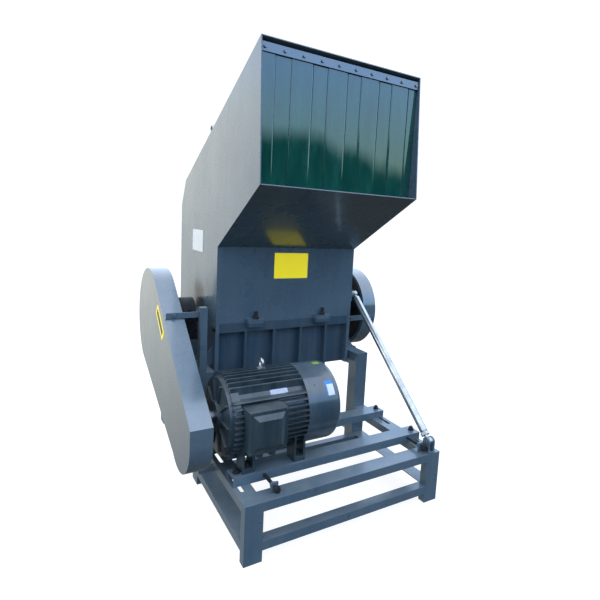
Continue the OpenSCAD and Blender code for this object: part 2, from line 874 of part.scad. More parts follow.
// Large pulley: grooved rim, web with round windows, and hub
pulley_hub_r = 90;
pulley_web = 22;
pulley_rim = 30;
window_n = 5;
window_r = 48;
module main_pulley() {
  color(black_iron)
    translate([belt_x, axis_y, rotor_h]) rotate([0, 90, 0])
      difference() {
        rotate_extrude() {
          grooved_rim(big_pulley_r - pulley_rim, big_pulley_r);
          translate([journal_d / 2 + run_fit, -pulley_w / 2]) square([pulley_hub_r - journal_d / 2, pulley_w]);
          translate([pulley_hub_r - pulley_rim / 3, -pulley_web / 2]) square([big_pulley_r - pulley_rim - pulley_hub_r + pulley_rim / 2, pulley_web]);
        }
        for (i = [0:window_n - 1]) rotate(i * 360 / window_n)
          translate([(pulley_hub_r + big_pulley_r - pulley_rim) / 2, 0, -pulley_w]) cylinder(h = pulley_w + pulley_w, r = window_r);
      }
}

// Loop round both pulleys, d outside their pitch lines
module belt_loop(d) {
  big = [axis_y, rotor_h];
  small = [motor_y, motor_z];
  away = big - small;
  lean = atan2(away.y, away.x);
  spread = acos((big_pulley_r - small_pulley_r) / norm(away));
  translate(big) circle(big_pulley_r + d);
  translate(small) circle(small_pulley_r + d);
  polygon([big + (big_pulley_r + d) * ray(lean + spread), small + (small_pulley_r + d) * ray(lean + spread),
           small + (small_pulley_r + d) * ray(lean - spread), big + (big_pulley_r + d) * ray(lean - spread)]);
}

// Belts with a wide back and a narrow inner side
belt_in = -6;
belt_mid = -1;
belt_out = 4;
belt_inner_half = 5.2;
belt_outer_half = 6.6;
module drive_belts() {
  color(belt_black)
    for (i = [0:belt_n - 1]) {
      x = belt_x + (i - (belt_n - 1) / 2) * belt_pitch;
      slice_x([x - belt_inner_half, x + belt_inner_half])
        difference() { belt_loop(belt_mid); belt_loop(belt_in); }
      slice_x([x - belt_outer_half, x + belt_outer_half])
        difference() { belt_loop(belt_out); belt_loop(belt_mid); }
    }
}

// Outline of the belt guard, drawn in by d: two arcs, the crease and two straight sides
crease = [guard_front, guard_low.y + crease_up];
crease_way = crease - guard_mid;
crease_angle = atan2(crease_way.y, crease_way.x) + 360 - acos(guard_r / norm(crease_way));
guard_way = guard_mid - guard_low;
under_angle = atan2(guard_way.y, guard_way.x) - acos((guard_r - guard_low_r) / norm(guard_way));
arc_steps = 48;
low_steps = 24;
function arc_points(c, r, a0, a1, n) = [for (i = [0:n]) c + r * ray(a0 + (a1 - a0) * i / n)];
module guard_outline(d) {
  n = ray(crease_angle);
  y = guard_front + d;
  z = guard_mid.y + (guard_r - d - (y - guard_mid.x) * n.x) / n.y;
  polygon(concat(arc_points(guard_mid, guard_r - d, under_angle, crease_angle, arc_steps), [[y, z]],
                 arc_points(guard_low, guard_low_r - d, 180, 360 + under_angle, low_steps)));
}

// Belt guard: face, rim, and a lip round its open back
guard_lip = 25;
module belt_guard() {
  color(slate)
    difference() {
      slice_x(guard_x) guard_outline(0);
      slice_x([guard_x[0] + guard_t, guard_x[1] - guard_t]) guard_outline(guard_t);
      slice_x([guard_x[1] - guard_t - guard_t, guard_x[1] + guard_t]) guard_outline(guard_lip);
    }
}

// Stand of the belt guard: upright on the post, arm over the guard's rim, and a lower bracket
stand_w = 45;
arm_up = 88;
arm_wide = 35;
stand_over = 27;
arm_z = [rotor_h + arm_up, rotor_h + arm_up + arm_wide];
stand_top = arm_z[1] + stand_over;
stand_t = 5;
arm_t = 8;
arm_short = 12;
low_arm_back = 28;
low_arm_y = guard_low.x + low_arm_back;
low_arm_w = 60;
low_arm_drop = 12;
function guard_face_y(z) =
  guard_mid.x + (guard_r - (z - guard_mid.y) * sin(crease_angle)) / cos(crease_angle);
arm_y = guard_face_y(arm_z[0]) - arm_t - seat_gap;
module guard_stand() {
  stand_y = [post_front, post_front + stand_w];
  color(slate) {
    post([left_x, left_x + stand_w], stand_y, [post_top, stand_top], stand_t);
    block([guard_x[0] + arm_short, left_x + stand_w], [arm_y, arm_y + arm_t], arm_z);
    block([left_x + stand_t, left_x + stand_w - stand_t], [min(arm_y, stand_y[0]), max(arm_y + arm_t, stand_y[0])], arm_z);
    translate([(guard_x[0] + guard_x[1]) / 2, arm_y, (arm_z[0] + arm_z[1]) / 2]) rotate([90, 0, 0]) hex_top(m12);
    block([guard_x[1], left_x], [low_arm_y, low_arm_y + low_arm_w], [leg_top, leg_top + low_arm_drop]);
    block([guard_x[1], guard_x[1] + arm_t], [low_arm_y, low_arm_y + low_arm_w],
          [leg_top, guard_low.y - guard_low_r + guard_lip]);
  }
}

// Side plates of the chamber, each with two feet on its beam
foot_plate_t = 15;
side_foot_len = 120;
side_foot_in = 50;
shaft_gap = 5;
gusset_t = 15;
pivot_set = 115;
pivot_drop = 60;
pivot_y = body_back - pivot_set;
pivot_z = rotor_h - pivot_drop;
pivot_r = 12;
module chamber_side(s) {
  x = s > 0 ? [inner_x, body_x] : [-body_x, -inner_x];
  foot_x = s > 0 ? [body_x, right_x - side_t / 2] : [left_x + side_t / 2, -body_x];
  color(slate) {
    difference() {
      block(x, [body_front, body_back], [chamber_low, seam_h]);
      rod_x([x[0] - side_t, x[1] + side_t], axis_y, rotor_h, journal_d / 2 + shaft_gap);
      rod_x([x[0] - side_t, x[1] + side_t], pivot_y, pivot_z, pivot_r + run_fit);
    }
    for (y = [body_front + side_foot_in, body_back - side_foot_in / 2 - side_foot_len]) {
      block(foot_x, [y, y + side_foot_len], [post_top, post_top + foot_plate_t]);
      for (g = [y, y + side_foot_len - gusset_t]) side_gusset(s, g);
    }
  }
}

// Triangular gusset between a side plate and its foot
gusset_out = 90;
gusset_h = 110;
module side_gusset(s, y) {
  z = post_top + foot_plate_t;
  slice_y([y, y + gusset_t])
    polygon([[s * body_x, z], [s * (body_x + gusset_out), z], [s * body_x, z + gusset_h]]);
}
module chamber_side_left() {
  chamber_side(-1);
}
module chamber_side_right() {
  chamber_side(1);
}

// Cross walls of the chamber: a set-back plate, a flange bar, ribs and the seat of a bed knife
seat_t = 30;
seat_back = 16;
module chamber_wall(s) {
  translate([0, axis_y, 0]) scale([1, s, 1]) {
    block([-inner_x, inner_x], [wall_y - wall_t, wall_y], [chamber_low, seam_h]);
    block([-inner_x, inner_x], [wall_y, body_half], [seam_h - flange_h, seam_h]);
    for (i = [0:rib_n - 1]) {
      x = (i - (rib_n - 1) / 2) * body_w / (rib_n + 1);
      block([x - rib_t / 2, x + rib_t / 2], [wall_y, body_half], [chamber_low, seam_h - flange_h]);
    }
    block([-inner_x, inner_x], [knife_edge + seat_back, wall_y - wall_t],
          [rotor_h - knife_t - seat_t, rotor_h - knife_t]);
    block([-inner_x, inner_x], [knife_edge + knife_w, wall_y - wall_t], [rotor_h - knife_t, rotor_h]);
  }
}

// Lug for a clamp screw over the span z, rounded in front
clamp_x = 258;
lug_wide = 120;
lug_deep = 55;
clamp_lug_t = 25;
clamp_d = 24;
clamp_in = 27;
clamp_free = 3;
lug_root_y = body_front + sheet_t / 2;
module clamp_lug(x, z, hole_r) {
  round_r = lug_deep / 2;
  y0 = body_front - lug_deep;
  difference() {
    union() {
      block([x - lug_wide / 2, x + lug_wide / 2], [y0 + round_r, lug_root_y], z);
      block([x - lug_wide / 2 + round_r, x + lug_wide / 2 - round_r], [y0, lug_root_y], z);
      for (u = [-1, 1]) rod_z(x + u * (lug_wide / 2 - round_r), y0 + round_r, z, round_r);
    }
    rod_z(x, body_front - clamp_in, [z[0] - clamp_lug_t, z[1] + clamp_lug_t], hole_r);
  }
}
module chamber_front_wall() {
  color(slate) {
    chamber_wall(-1);
    for (s = [-1, 1]) clamp_lug(s * clamp_x, [seam_h - clamp_lug_t, seam_h], clamp_d / 2 + clamp_free);
  }
}

// Knuckle of a hinge with its leaf; up is 1 for the moving one and 0 for the fixed one
hinge_x = 350;
hinge_r = 22;
hinge_pin_r = 10;
knuckle_w = 60;
leaf_t = 16;
module knuckle(x0, up) {
  leaf_z = up ? [seam_h + seat_gap, seam_h + leaf_t] : [seam_h - leaf_t, seam_h - seat_gap];
  difference() {
    union() {
      rod_x([x0, x0 + knuckle_w], hinge_y, seam_h, hinge_r);
      block([x0, x0 + knuckle_w], [body_back - sheet_t / 2, hinge_y], leaf_z);
    }
    rod_x([x0 - knuckle_w, x0 + knuckle_w + knuckle_w], hinge_y, seam_h, hinge_pin_r + run_fit);
  }
}
module chamber_rear_wall() {
  color(slate) {
    chamber_wall(1);
    for (x = [-hinge_x, hinge_x]) knuckle(x - knuckle_w - pass_gap, 0);
  }
}

// Bolts that hold the side plates against the flange bars
module flange_bolts() {
  color(black_iron)
    for (s = [-1, 1])
      for (y = [body_front + wall_inset / 2, body_back - wall_inset / 2])
        translate([s * body_x, y, seam_h - flange_h / 2]) rotate([0, s * 90, 0]) hex_top(m20);
}

// Fixed knives on their seats, each held by a row of bolts
bed_bolt_n = 8;
knife_play = 2;
knife_len = inner_x - knife_play;
module bed_knives() {
  color(steel)
    for (s = [-1, 1]) translate([0, axis_y, 0]) scale([1, s, 1]) {
      block([-knife_len, knife_len], [knife_edge, knife_edge + knife_w], [rotor_h - knife_t, rotor_h]);
      for (i = [0:bed_bolt_n - 1])
        translate([(i - (bed_bolt_n - 1) / 2) * inner_x * 2 / bed_bolt_n, knife_edge + knife_w * 2 / 3, rotor_h]) hex_top(m12);
    }
}

// Sieve plate folded in flats round the rotor, with one row of round holes in each flat
screen_r = cut_r + screen_gap;
screen_out_r = screen_r + screen_t;
screen_lap = 12;
screen_play = 2;
screen_x = inner_x - screen_play;
screen_rows = 9;
screen_cols = 16;
screen_step = (180 - screen_lap * 2) / screen_rows;
fold_r = screen_r / cos(screen_step / 2);
fold_out_r = screen_out_r / cos(screen_step / 2);
module arc_band(r0, r1, lap) {
  difference() {
    circle(r1);
    circle(r0);
    polygon([[0, 0], (r1 + r1) * ray(-lap), [r1 + r1, r1 + r1], [-r1 - r1, r1 + r1], (r1 + r1) * ray(180 + lap)]);
  }
}
module screen() {
  folds = [for (i = [0:screen_rows]) 180 + screen_lap + i * screen_step];
  color(steel)
    difference() {
      translate([0, axis_y, rotor_h]) slice_x([-screen_x, screen_x])
        polygon(concat([for (a = folds) fold_out_r * ray(a)],
                       [for (i = [screen_rows:-1:0]) fold_r * ray(folds[i])]));
      for (i = [0:screen_rows - 1]) for (k = [0:screen_cols - 1])
        translate([(k - (screen_cols - 1) / 2) * screen_x * 2 / screen_cols, axis_y, rotor_h])
          rotate([(folds[i] + folds[i + 1]) / 2, 0, 0]) rotate([-90, 0, 0])
            translate([0, 0, screen_r - screen_t]) cylinder(h = screen_t * 3, d = screen_hole_d);
    }
}

// Hinged cradle under the screen: curved ribs, two edge bars, arms and a pivot shaft
cradle_rib_n = 5;
cradle_rib_t = 12;
cradle_band = 33;
cradle_play = 6;
cradle_x = inner_x - cradle_play;
cradle_end_lap = 17;
cradle_bar_gap = 2;
arm_rise = 4;
pivot_in = 2;
cradle_bar = 24;
module screen_cradle() {
  in_r = fold_out_r + seat_gap;
  cradle_out_r = in_r + cradle_band;
  color(slate) {
    for (i = [0:cradle_rib_n - 1]) {
      x = (i - (cradle_rib_n - 1) / 2) * (cradle_x * 2 - cradle_rib_t) / (cradle_rib_n - 1);
      translate([0, axis_y, rotor_h]) slice_x([x - cradle_rib_t / 2, x + cradle_rib_t / 2])
        arc_band(in_r, cradle_out_r, screen_lap);
    }
    translate([0, axis_y, rotor_h]) {
      for (a = [180 + screen_lap, 270, 360 - cradle_end_lap])
        rotate([a, 0, 0]) block([-cradle_x, cradle_x], [in_r + cradle_bar_gap, cradle_out_r], [cradle_bar_gap, cradle_bar / 2]);
    }
    for (x = [-cradle_x, cradle_x - cradle_rib_t])
      block([x, x + cradle_rib_t], [axis_y + in_r, pivot_y], [pivot_z - cradle_bar / 2 - arm_rise, pivot_z + arm_rise]);
    rod_x([-body_x + pivot_in, body_x - pivot_in], pivot_y, pivot_z, pivot_r);
  }
}

// Rotor shaft: two long journals and a thicker middle
shaft_back = 17;
shaft_play = 5;
shaft_x = [guard_x[0] + shaft_back, drum_x[1] - shaft_back];
shaft_mid_x = inner_x - shaft_play;
module rotor_shaft() {
  color(steel) {
    rod_x([shaft_x[0], -shaft_mid_x], axis_y, rotor_h, journal_d / 2);
    rod_x([-shaft_mid_x, shaft_mid_x], axis_y, rotor_h, shaft_d / 2);
    rod_x([shaft_mid_x, shaft_x[1]], axis_y, rotor_h, journal_d / 2);
  }
}

// Open rotor: star plates on a hub tube, with slanted knife seats
rotor_in = 20;
rotor_x = inner_x - rotor_in;
hub_out_r = 92;
knife_slant = 25;
star_hub_r = 100;
arm_root_r = 92;
seat_set = 8;
stop_low = 6;
stop_wide = 17;
bevel_w = 14;
knife_bolt_in = 50;
knife_end = 10;

// Point u along the knife and v under its face, seen from the rotor's axis
function knife_point(u, v) =
  [cut_r - u * sin(knife_slant) - v * cos(knife_slant), u * cos(knife_slant) - v * sin(knife_slant)];
module star_arm() {
  polygon([knife_point(seat_set, knife_t), knife_point(knife_w + pass_gap, knife_t),
           knife_point(knife_w + pass_gap, stop_low), knife_point(knife_w + stop_wide, stop_low),
           arm_root_r * ray(72), arm_root_r * ray(-48)]);
}
module rotor_stars() {
  color(black_iron)
    difference() {
      translate([0, axis_y, rotor_h]) {
        slice_x([-rotor_x, rotor_x]) circle(hub_out_r);
        for (i = [0:star_n - 1]) {
          x = (i - (star_n - 1) / 2) * (rotor_x * 2 - star_t) / (star_n - 1);
          slice_x([x - star_t / 2, x + star_t / 2]) {
            circle(star_hub_r);
            for (k = [0:knife_rows - 1]) rotate(k * 360 / knife_rows) star_arm();
          }
        }
      }
      rod_x([-inner_x, inner_x], axis_y, rotor_h, shaft_d / 2 + run_fit);
    }
}

// Rotor knives on the seats of the stars, each held by one bolt a star
module rotor_knives() {
  color(steel)
    translate([0, axis_y, rotor_h])
      for (k = [0:knife_rows - 1]) rotate([k * 360 / knife_rows, 0, 0]) {
        slice_x([-inner_x + knife_end, inner_x - knife_end])
          polygon([knife_point(0, 0), knife_point(knife_w, 0), knife_point(knife_w, knife_t), knife_point(bevel_w, knife_t)]);
        at = knife_point(knife_bolt_in, 0);
        for (i = [0:star_n - 1])
          translate([(i - (star_n - 1) / 2) * (rotor_x * 2 - star_t) / (star_n - 1), at.x, at.y])
            rotate([-90 + knife_slant, 0, 0]) hex_top(m12);
      }
}

// Split pillow blocks on the pedestals
block_w = 90;
block_r = 125;
block_base_t = 40;
block_len = 300;
cap_in = 105;
cap_boss = 26;
module rotor_bearings() {
  color(black_iron)
    for (s = [-1, 1]) {
      mid = s * (right_x - post_w / 2);
      x = [mid - block_w / 2, mid + block_w / 2];
      difference() {
        union() {
          block(x, [axis_y - block_len / 2, axis_y + block_len / 2], [pedestal_top, pedestal_top + block_base_t]);
          rod_x(x, axis_y, rotor_h, block_r);
          block(x, [axis_y - block_r, axis_y + block_r], [pedestal_top, rotor_h]);
          for (u = [-1, 1]) {
            rod_z(mid, axis_y + u * cap_in, [rotor_h - block_base_t, rotor_h + block_base_t], cap_boss);
            translate([mid, axis_y + u * cap_in, rotor_h + block_base_t]) hex_top(m20);
            translate([mid, axis_y + u * (block_len / 2 - cap_boss), pedestal_top + block_base_t]) hex_top(m20);
          }
        }
        rod_x([x[0] - block_w, x[1] + block_w], axis_y, rotor_h, journal_d / 2 + run_fit);
      }
    }
}

// Flywheel on the right end of the rotor shaft
fly_rim = 55;
fly_web = 25;
fly_hub_r = 95;
module flywheel() {
  mid = (fly_x[0] + fly_x[1]) / 2;
  color(black_iron)
    difference() {
      union() {
        difference() {
          rod_x(fly_x, axis_y, rotor_h, flywheel_r);
          rod_x([fly_x[0] - fly_web, fly_x[1] + fly_web], axis_y, rotor_h, flywheel_r - fly_rim);
        }
        rod_x([mid - fly_web / 2, mid + fly_web / 2], axis_y, rotor_h, flywheel_r - fly_rim / 2);
        rod_x(fly_x, axis_y, rotor_h, fly_hub_r);
      }
      rod_x([fly_x[0] - fly_web, fly_x[1] + fly_web], axis_y, rotor_h, journal_d / 2 + run_fit);
    }
}

// Round guard of the flywheel, open towards the chamber
module flywheel_guard() {
  color(slate)
    difference() {
      rod_x(drum_x, axis_y, rotor_h, drum_r);
      rod_x([drum_x[0] + guard_t, drum_x[1] - guard_t], axis_y, rotor_h, drum_r - guard_t);
      rod_x([drum_x[0] - guard_t, drum_x[0] + guard_t + guard_t], axis_y, rotor_h, drum_r - guard_lip);
    }
}

// Flat bars that carry the round guard from the chamber's side
bar_h = 40;
bar_t = 8;
bar_drop = 15;
bar_top = rotor_h - bar_drop;
bar_plate = 12;
module drum_brackets() {
  color(slate)
    for (s = [-1, 1]) {
      y = axis_y + s * (drum_r + bar_t / 2 + seat_gap);
      block([body_x, drum_x[1] - bar_plate], [y - bar_t / 2, y + bar_t / 2], [bar_top - bar_h, bar_top]);
      translate([(drum_x[0] + drum_x[1]) / 2, y + s * bar_t / 2, bar_top - bar_h / 2]) rotate([-s * 90, 0, 0]) hex_top(m12);
    }
}

// Side plates of the hopper, with a notch that clears the rotor shaft
module hopper_side(s) {
  x = s > 0 ? [panel_x, body_x] : [-body_x, -panel_x];
  color(slate)
    difference() {
      slice_x(x)
        polygon([[body_front, seam_h], [body_front, knee_h], [lip_y, lip_h], [brow_y, brow_h],
                 [bend_y, bend_h], [body_back, eave_h], [body_back, seam_h]]);
      rod_x([x[0] - side_t, x[1] + side_t], axis_y, rotor_h, journal_d / 2 + shaft_gap);
    }
}
module hopper_side_left() {
  hopper_side(-1);
}

// Right side plate, with the lug that the jack's upper pin turns in
lug_base_t = 10;
lug_base_in = 40;
lug_base_x = [body_x, body_x + lug_base_t];
lug_end_x = jack_x - jack_eye_w / 2 - pass_gap;
lug_base_half = 45;
jack_pin_r = jack_pin_d / 2;
module hopper_side_right() {
  hopper_side(1);
  color(slate)
    difference() {
      union() {
        block(lug_base_x, [jack_top.x - lug_base_in, jack_top.x + lug_base_half], [jack_top.y - lug_base_half, jack_top.y + lug_base_half]);
        rod_x([body_x, lug_end_x], jack_top.x, jack_top.y, jack_eye_r);
      }
      rod_x([body_x, lug_end_x + side_t], jack_top.x, jack_top.y, jack_pin_r + run_fit);
    }
}

// Front panel and sloping underside of the feed mouth, one bent sheet
module hopper_front() {
  p = [[lip_y, lip_h], [body_front, knee_h], [body_front, seam_h]];
  color(slate) {
    slice_x([-panel_x, panel_x]) polygon(sheet_line(p, sheet_t));
    for (s = [-1, 1]) clamp_lug(s * clamp_x, [seam_h, seam_h + clamp_lug_t], clamp_d / 2 + run_fit);
  }
}

// Roof and back of the hopper, one bent sheet with the moving hinge knuckles
module hopper_roof() {
  p = [[body_back, seam_h], [body_back, eave_h], [bend_y, bend_h], [brow_y, brow_h]];
  color(slate) {
    slice_x([-panel_x, panel_x]) polygon(sheet_line(p, sheet_t));
    for (x = [-hinge_x, hinge_x]) knuckle(x + pass_gap, 1);
  }
}

// Hinge pins through both knuckles
module hinge_pins() {
  color(zinc)
    for (x = [-hinge_x, hinge_x]) {
      rod_x([x - knuckle_w - pass_gap - seat_gap, x + knuckle_w + pass_gap + seat_gap], hinge_y, seam_h, hinge_pin_r);
      rod_x([x + knuckle_w + pass_gap + seat_gap, x + knuckle_w + hinge_pin_r], hinge_y, seam_h, hinge_pin_r + hinge_pin_r / 2);
    }
}

// Bar across the feed mouth that holds the curtain
curtain_in = 63;
curtain_drop = 46;
curtain_y = lip_y + curtain_in;
curtain_top = brow_h - curtain_drop;
clamp_bar_t = 8;
clamp_bar_h = 45;
curtain_gap = seat_gap;
strip_edge = panel_x - pass_gap - seat_gap;
strip_n = ceil(strip_edge * 2 / strip_pitch);
strip_ys = [curtain_y, curtain_y + strip_t + curtain_gap];
bar_sink = 4;
bar_low = curtain_top - clamp_bar_h / 2 - bar_sink;
module curtain_bar() {
  bar_y = [curtain_y - clamp_bar_t - seat_gap, curtain_y - seat_gap];
  color(slate) {
    block([-panel_x, panel_x], bar_y, [bar_low, bar_low + clamp_bar_h]);
    for (k = [0:strip_n - 1])
      translate([(k - (strip_n - 1) / 2) * strip_pitch, bar_y[0], bar_low + clamp_bar_h / 2]) rotate([90, 0, 0]) hex_top(m10);
  }
}

// Curtain of overlapping soft strips in two planes
curtain_over = 11;
curtain_low = lip_h - curtain_over;
module curtain_strips() {
  color(curtain_green, 0.7)
    for (k = [0:strip_n - 1]) {
      x = (k - (strip_n - 1) / 2) * strip_pitch;
      y = strip_ys[k % 2];
      block([max(-strip_edge, x - (strip_pitch + strip_lap) / 2), min(strip_edge, x + (strip_pitch + strip_lap) / 2)],
            [y, y + strip_t], [curtain_low, curtain_top + clamp_bar_h / 3]);
    }
}

// Lifting eyes on the roof
roof_eye_set = 220;
roof_eye_in = 25;
roof_eye_y = body_front + roof_eye_set;
roof_eye_x = body_x - roof_eye_in;
roof_eye_r = 28;
roof_eye_wire = 8;
module lifting_eyes() {
  z = brow_h - (roof_eye_y - brow_y) * roof_slope;
  color(black_iron)
    for (s = [-1, 1]) translate([s * roof_eye_x, roof_eye_y, z + seat_gap]) rotate([-atan(roof_slope), 0, 0]) {
      cylinder(h = roof_eye_wire, r = roof_eye_r * 2 / 3);
      translate([0, 0, roof_eye_r + roof_eye_wire]) rotate([90, 0, 90])
        rotate_extrude() translate([roof_eye_r, 0]) circle(roof_eye_wire);
    }
}

// Clamp screws that hold the hopper down on the chamber
clamp_head_h = 18;
clamp_tip = 34;
clamp_below = 5;
module clamp_screw(x) {
  y = body_front - clamp_in;
  z = seam_h + clamp_lug_t;
  color(black_iron) {
    rod_z(x, y, [seam_h - clamp_lug_t - clamp_below, z + clamp_head_h + clamp_tip], clamp_d / 2);
    translate([x, y, z]) cylinder(h = clamp_head_h, d = clamp_d * head_share, $fn = 6);
  }
}
module clamp_screw_left() {
  clamp_screw(-clamp_x);
}
module clamp_screw_right() {
  clamp_screw(clamp_x);
}

// Bracket of the jack on the frame's front rail: base plate and two ears
jack_base_t = 8;
jack_base_set = 2;
pin_tail = 4;
pin_head = 8;
ear_r = 28;
module jack_bracket() {
  out = jack_eye_w / 2 + pass_gap;
  color(slate)
    difference() {
      union() {
        block([jack_x - out - ear_t, jack_x + out + ear_t], [front_y + jack_base_set, front_y + rail_w - jack_base_set], [base_h, base_h + jack_base_t]);
        for (x = [jack_x - out - ear_t, jack_x + out]) {
          rod_x([x, x + ear_t], jack_low.x, jack_low.y, ear_r);
          block([x, x + ear_t], [jack_low.x - ear_r, jack_low.x + ear_r], [base_h, jack_low.y]);
        }
      }
      rod_x([jack_x - out - ear_t - ear_t, jack_x + out + ear_t + ear_t], jack_low.x, jack_low.y, jack_pin_r + run_fit);
    }
}

// Lower pin of the jack, with a head at its right end
module jack_pin() {
  out = jack_eye_w / 2 + pass_gap + ear_t;
  color(zinc) {
    rod_x([jack_x - out - pin_tail, jack_x + out + seat_gap], jack_low.x, jack_low.y, jack_pin_r);
    rod_x([jack_x + out + seat_gap, jack_x + out + pin_head], jack_low.x, jack_low.y, jack_pin_r + jack_pin_r / 2);
  }
}

// Places its children on the jack's line, Z running up from the lower pin
module on_jack() {
  translate([jack_x, jack_low.x, jack_low.y]) rotate([-jack_lean, 0, 0]) children();
}

// Eye of the jack with its neck, centred on the origin
module jack_eye(neck) {
  difference() {
    union() {
      rod_x([-jack_eye_w / 2, jack_eye_w / 2], 0, 0, jack_eye_r);
      rod_z(0, 0, [0, neck], jack_eye_w / 2);
    }
    rod_x([-jack_eye_w, jack_eye_w], 0, 0, jack_pin_r + run_fit);
  }
}

// Screw of the jack with its lower eye and a hexagon collar to turn it
collar_set = 40;
collar_len = 20;
collar_z = [collar_set, collar_set + collar_len];
collar_d = 58;
screw_short = 111;
tube_short = 12;
tube_top = jack_len - jack_eye_r - tube_short;
screw_top = tube_top - screw_short;
module jack_screw() {
  color(zinc)
    on_jack() {
      jack_eye(collar_z[0] + pass_gap);
      translate([0, 0, collar_z[0]]) cylinder(h = collar_z[1] - collar_z[0], d = collar_d, $fn = 6);
      rod_z(0, 0, [collar_z[1] - pass_gap, screw_top], jack_screw_d / 2);
    }
}

// Tube of the jack with its threaded foot and its upper eye
tube_low = 66;
nut_len = 70;
module jack_tube() {
  color(zinc)
    on_jack() {
      difference() {
        rod_z(0, 0, [tube_low, tube_top], jack_tube_d / 2);
        rod_z(0, 0, [tube_low + nut_len, tube_top - nut_len / 2], jack_tube_d / 2 - jack_tube_t);
        rod_z(0, 0, [tube_low - nut_len, tube_low + nut_len + nut_len], jack_screw_d / 2 + run_fit);
      }
      translate([0, 0, jack_len]) rotate([180, 0, 0]) jack_eye(jack_len - tube_top + pass_gap);
    }
}

front_legs();
front_top_rail();
front_lower_rail();
side_rails();
lower_rails();
front_posts();
rear_posts();
bearing_beam_left();
bearing_beam_right();
bearing_pedestals();
motor_rail_front();
motor_rail_rear();
mounting_bolts();
tension_screws();
motor_housing();
motor_stator();
motor_drive_shield();
motor_rear_shield();
motor_bearings();
fan_cowl();
cooling_fan();
motor_shaft();
terminal_box();
terminal_box_lid();
motor_eye_bolt();
motor_pulley();
drive_belts();
main_pulley();
belt_guard();
guard_stand();
chamber_side_left();
chamber_side_right();
chamber_front_wall();
chamber_rear_wall();
flange_bolts();
bed_knives();
screen();
screen_cradle();
rotor_shaft();
rotor_stars();
rotor_knives();
rotor_bearings();
flywheel();
flywheel_guard();
drum_brackets();
hopper_side_left();
hopper_side_right();
hopper_front();
hopper_roof();
curtain_bar();
curtain_strips();
lifting_eyes();
hinge_pins();
clamp_screw_left();
clamp_screw_right();
jack_bracket();
jack_pin();
jack_screw();
jack_tube();
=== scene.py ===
import json
import math

import bpy
import numpy as np
from mathutils import Matrix


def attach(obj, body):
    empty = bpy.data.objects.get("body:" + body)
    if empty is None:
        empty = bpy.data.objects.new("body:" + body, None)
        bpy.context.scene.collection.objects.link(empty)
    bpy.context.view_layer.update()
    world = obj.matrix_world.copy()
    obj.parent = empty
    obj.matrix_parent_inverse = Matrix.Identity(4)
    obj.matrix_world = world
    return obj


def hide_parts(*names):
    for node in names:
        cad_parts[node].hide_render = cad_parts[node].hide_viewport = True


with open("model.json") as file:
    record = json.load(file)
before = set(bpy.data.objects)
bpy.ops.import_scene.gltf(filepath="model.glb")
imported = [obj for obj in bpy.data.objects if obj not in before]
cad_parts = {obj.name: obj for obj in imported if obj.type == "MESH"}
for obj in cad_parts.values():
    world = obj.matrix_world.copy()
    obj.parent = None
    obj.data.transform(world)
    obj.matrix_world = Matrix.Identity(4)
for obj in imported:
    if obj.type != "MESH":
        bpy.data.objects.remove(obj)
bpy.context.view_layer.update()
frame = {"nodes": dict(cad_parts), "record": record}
nodes = frame["nodes"]
print("frame loaded:", len(nodes), "nodes")

camera = {
    "focal": 454.5,            # focal length in pixels of a picture 600 pixels wide
    "centre": (315.2, 280.2),  # pixel where the optical axis meets the picture
    "pitch": 7.19, "roll": 3.01, "yaw": 30.85,
    "place": (-1.4541, -2.8212, 1.7004),
    "pictureSize": 600, "sensor": 36,
}


def setCamera():
    size = camera["pictureSize"]
    data = bpy.data.cameras.new("camera")
    data.sensor_width = camera["sensor"]
    data.lens = camera["focal"] * camera["sensor"] / size
    data.shift_x = (size / 2 - camera["centre"][0]) / size
    data.shift_y = (camera["centre"][1] - size / 2) / size
    data.clip_end = 100
    obj = bpy.data.objects.new("camera", data)
    bpy.context.scene.collection.objects.link(obj)
    # rows are the picture's right, down and ahead directions in the room
    ahead = Matrix(((1, 0, 0), (0, 0, -1), (0, 1, 0)))
    rows = (Matrix.Rotation(math.radians(camera["roll"]), 3, "Z") @ ahead
            @ Matrix.Rotation(math.radians(camera["pitch"]), 3, "X")
            @ Matrix.Rotation(math.radians(camera["yaw"]), 3, "Z"))
    turn = rows.transposed() @ Matrix.Diagonal((1, -1, -1))
    obj.matrix_world = Matrix.Translation(camera["place"]) @ turn.to_4x4()
    bpy.context.scene.camera = obj


def linear(colour):
    # Turns a 0-255 display colour into the linear values that shaders take
    c = np.array(colour[:3], float) / 255
    c = np.where(c <= 0.04045, c / 12.92, ((c + 0.055) / 1.055) ** 2.4)
    return (float(c[0]), float(c[1]), float(c[2]), 1.0)


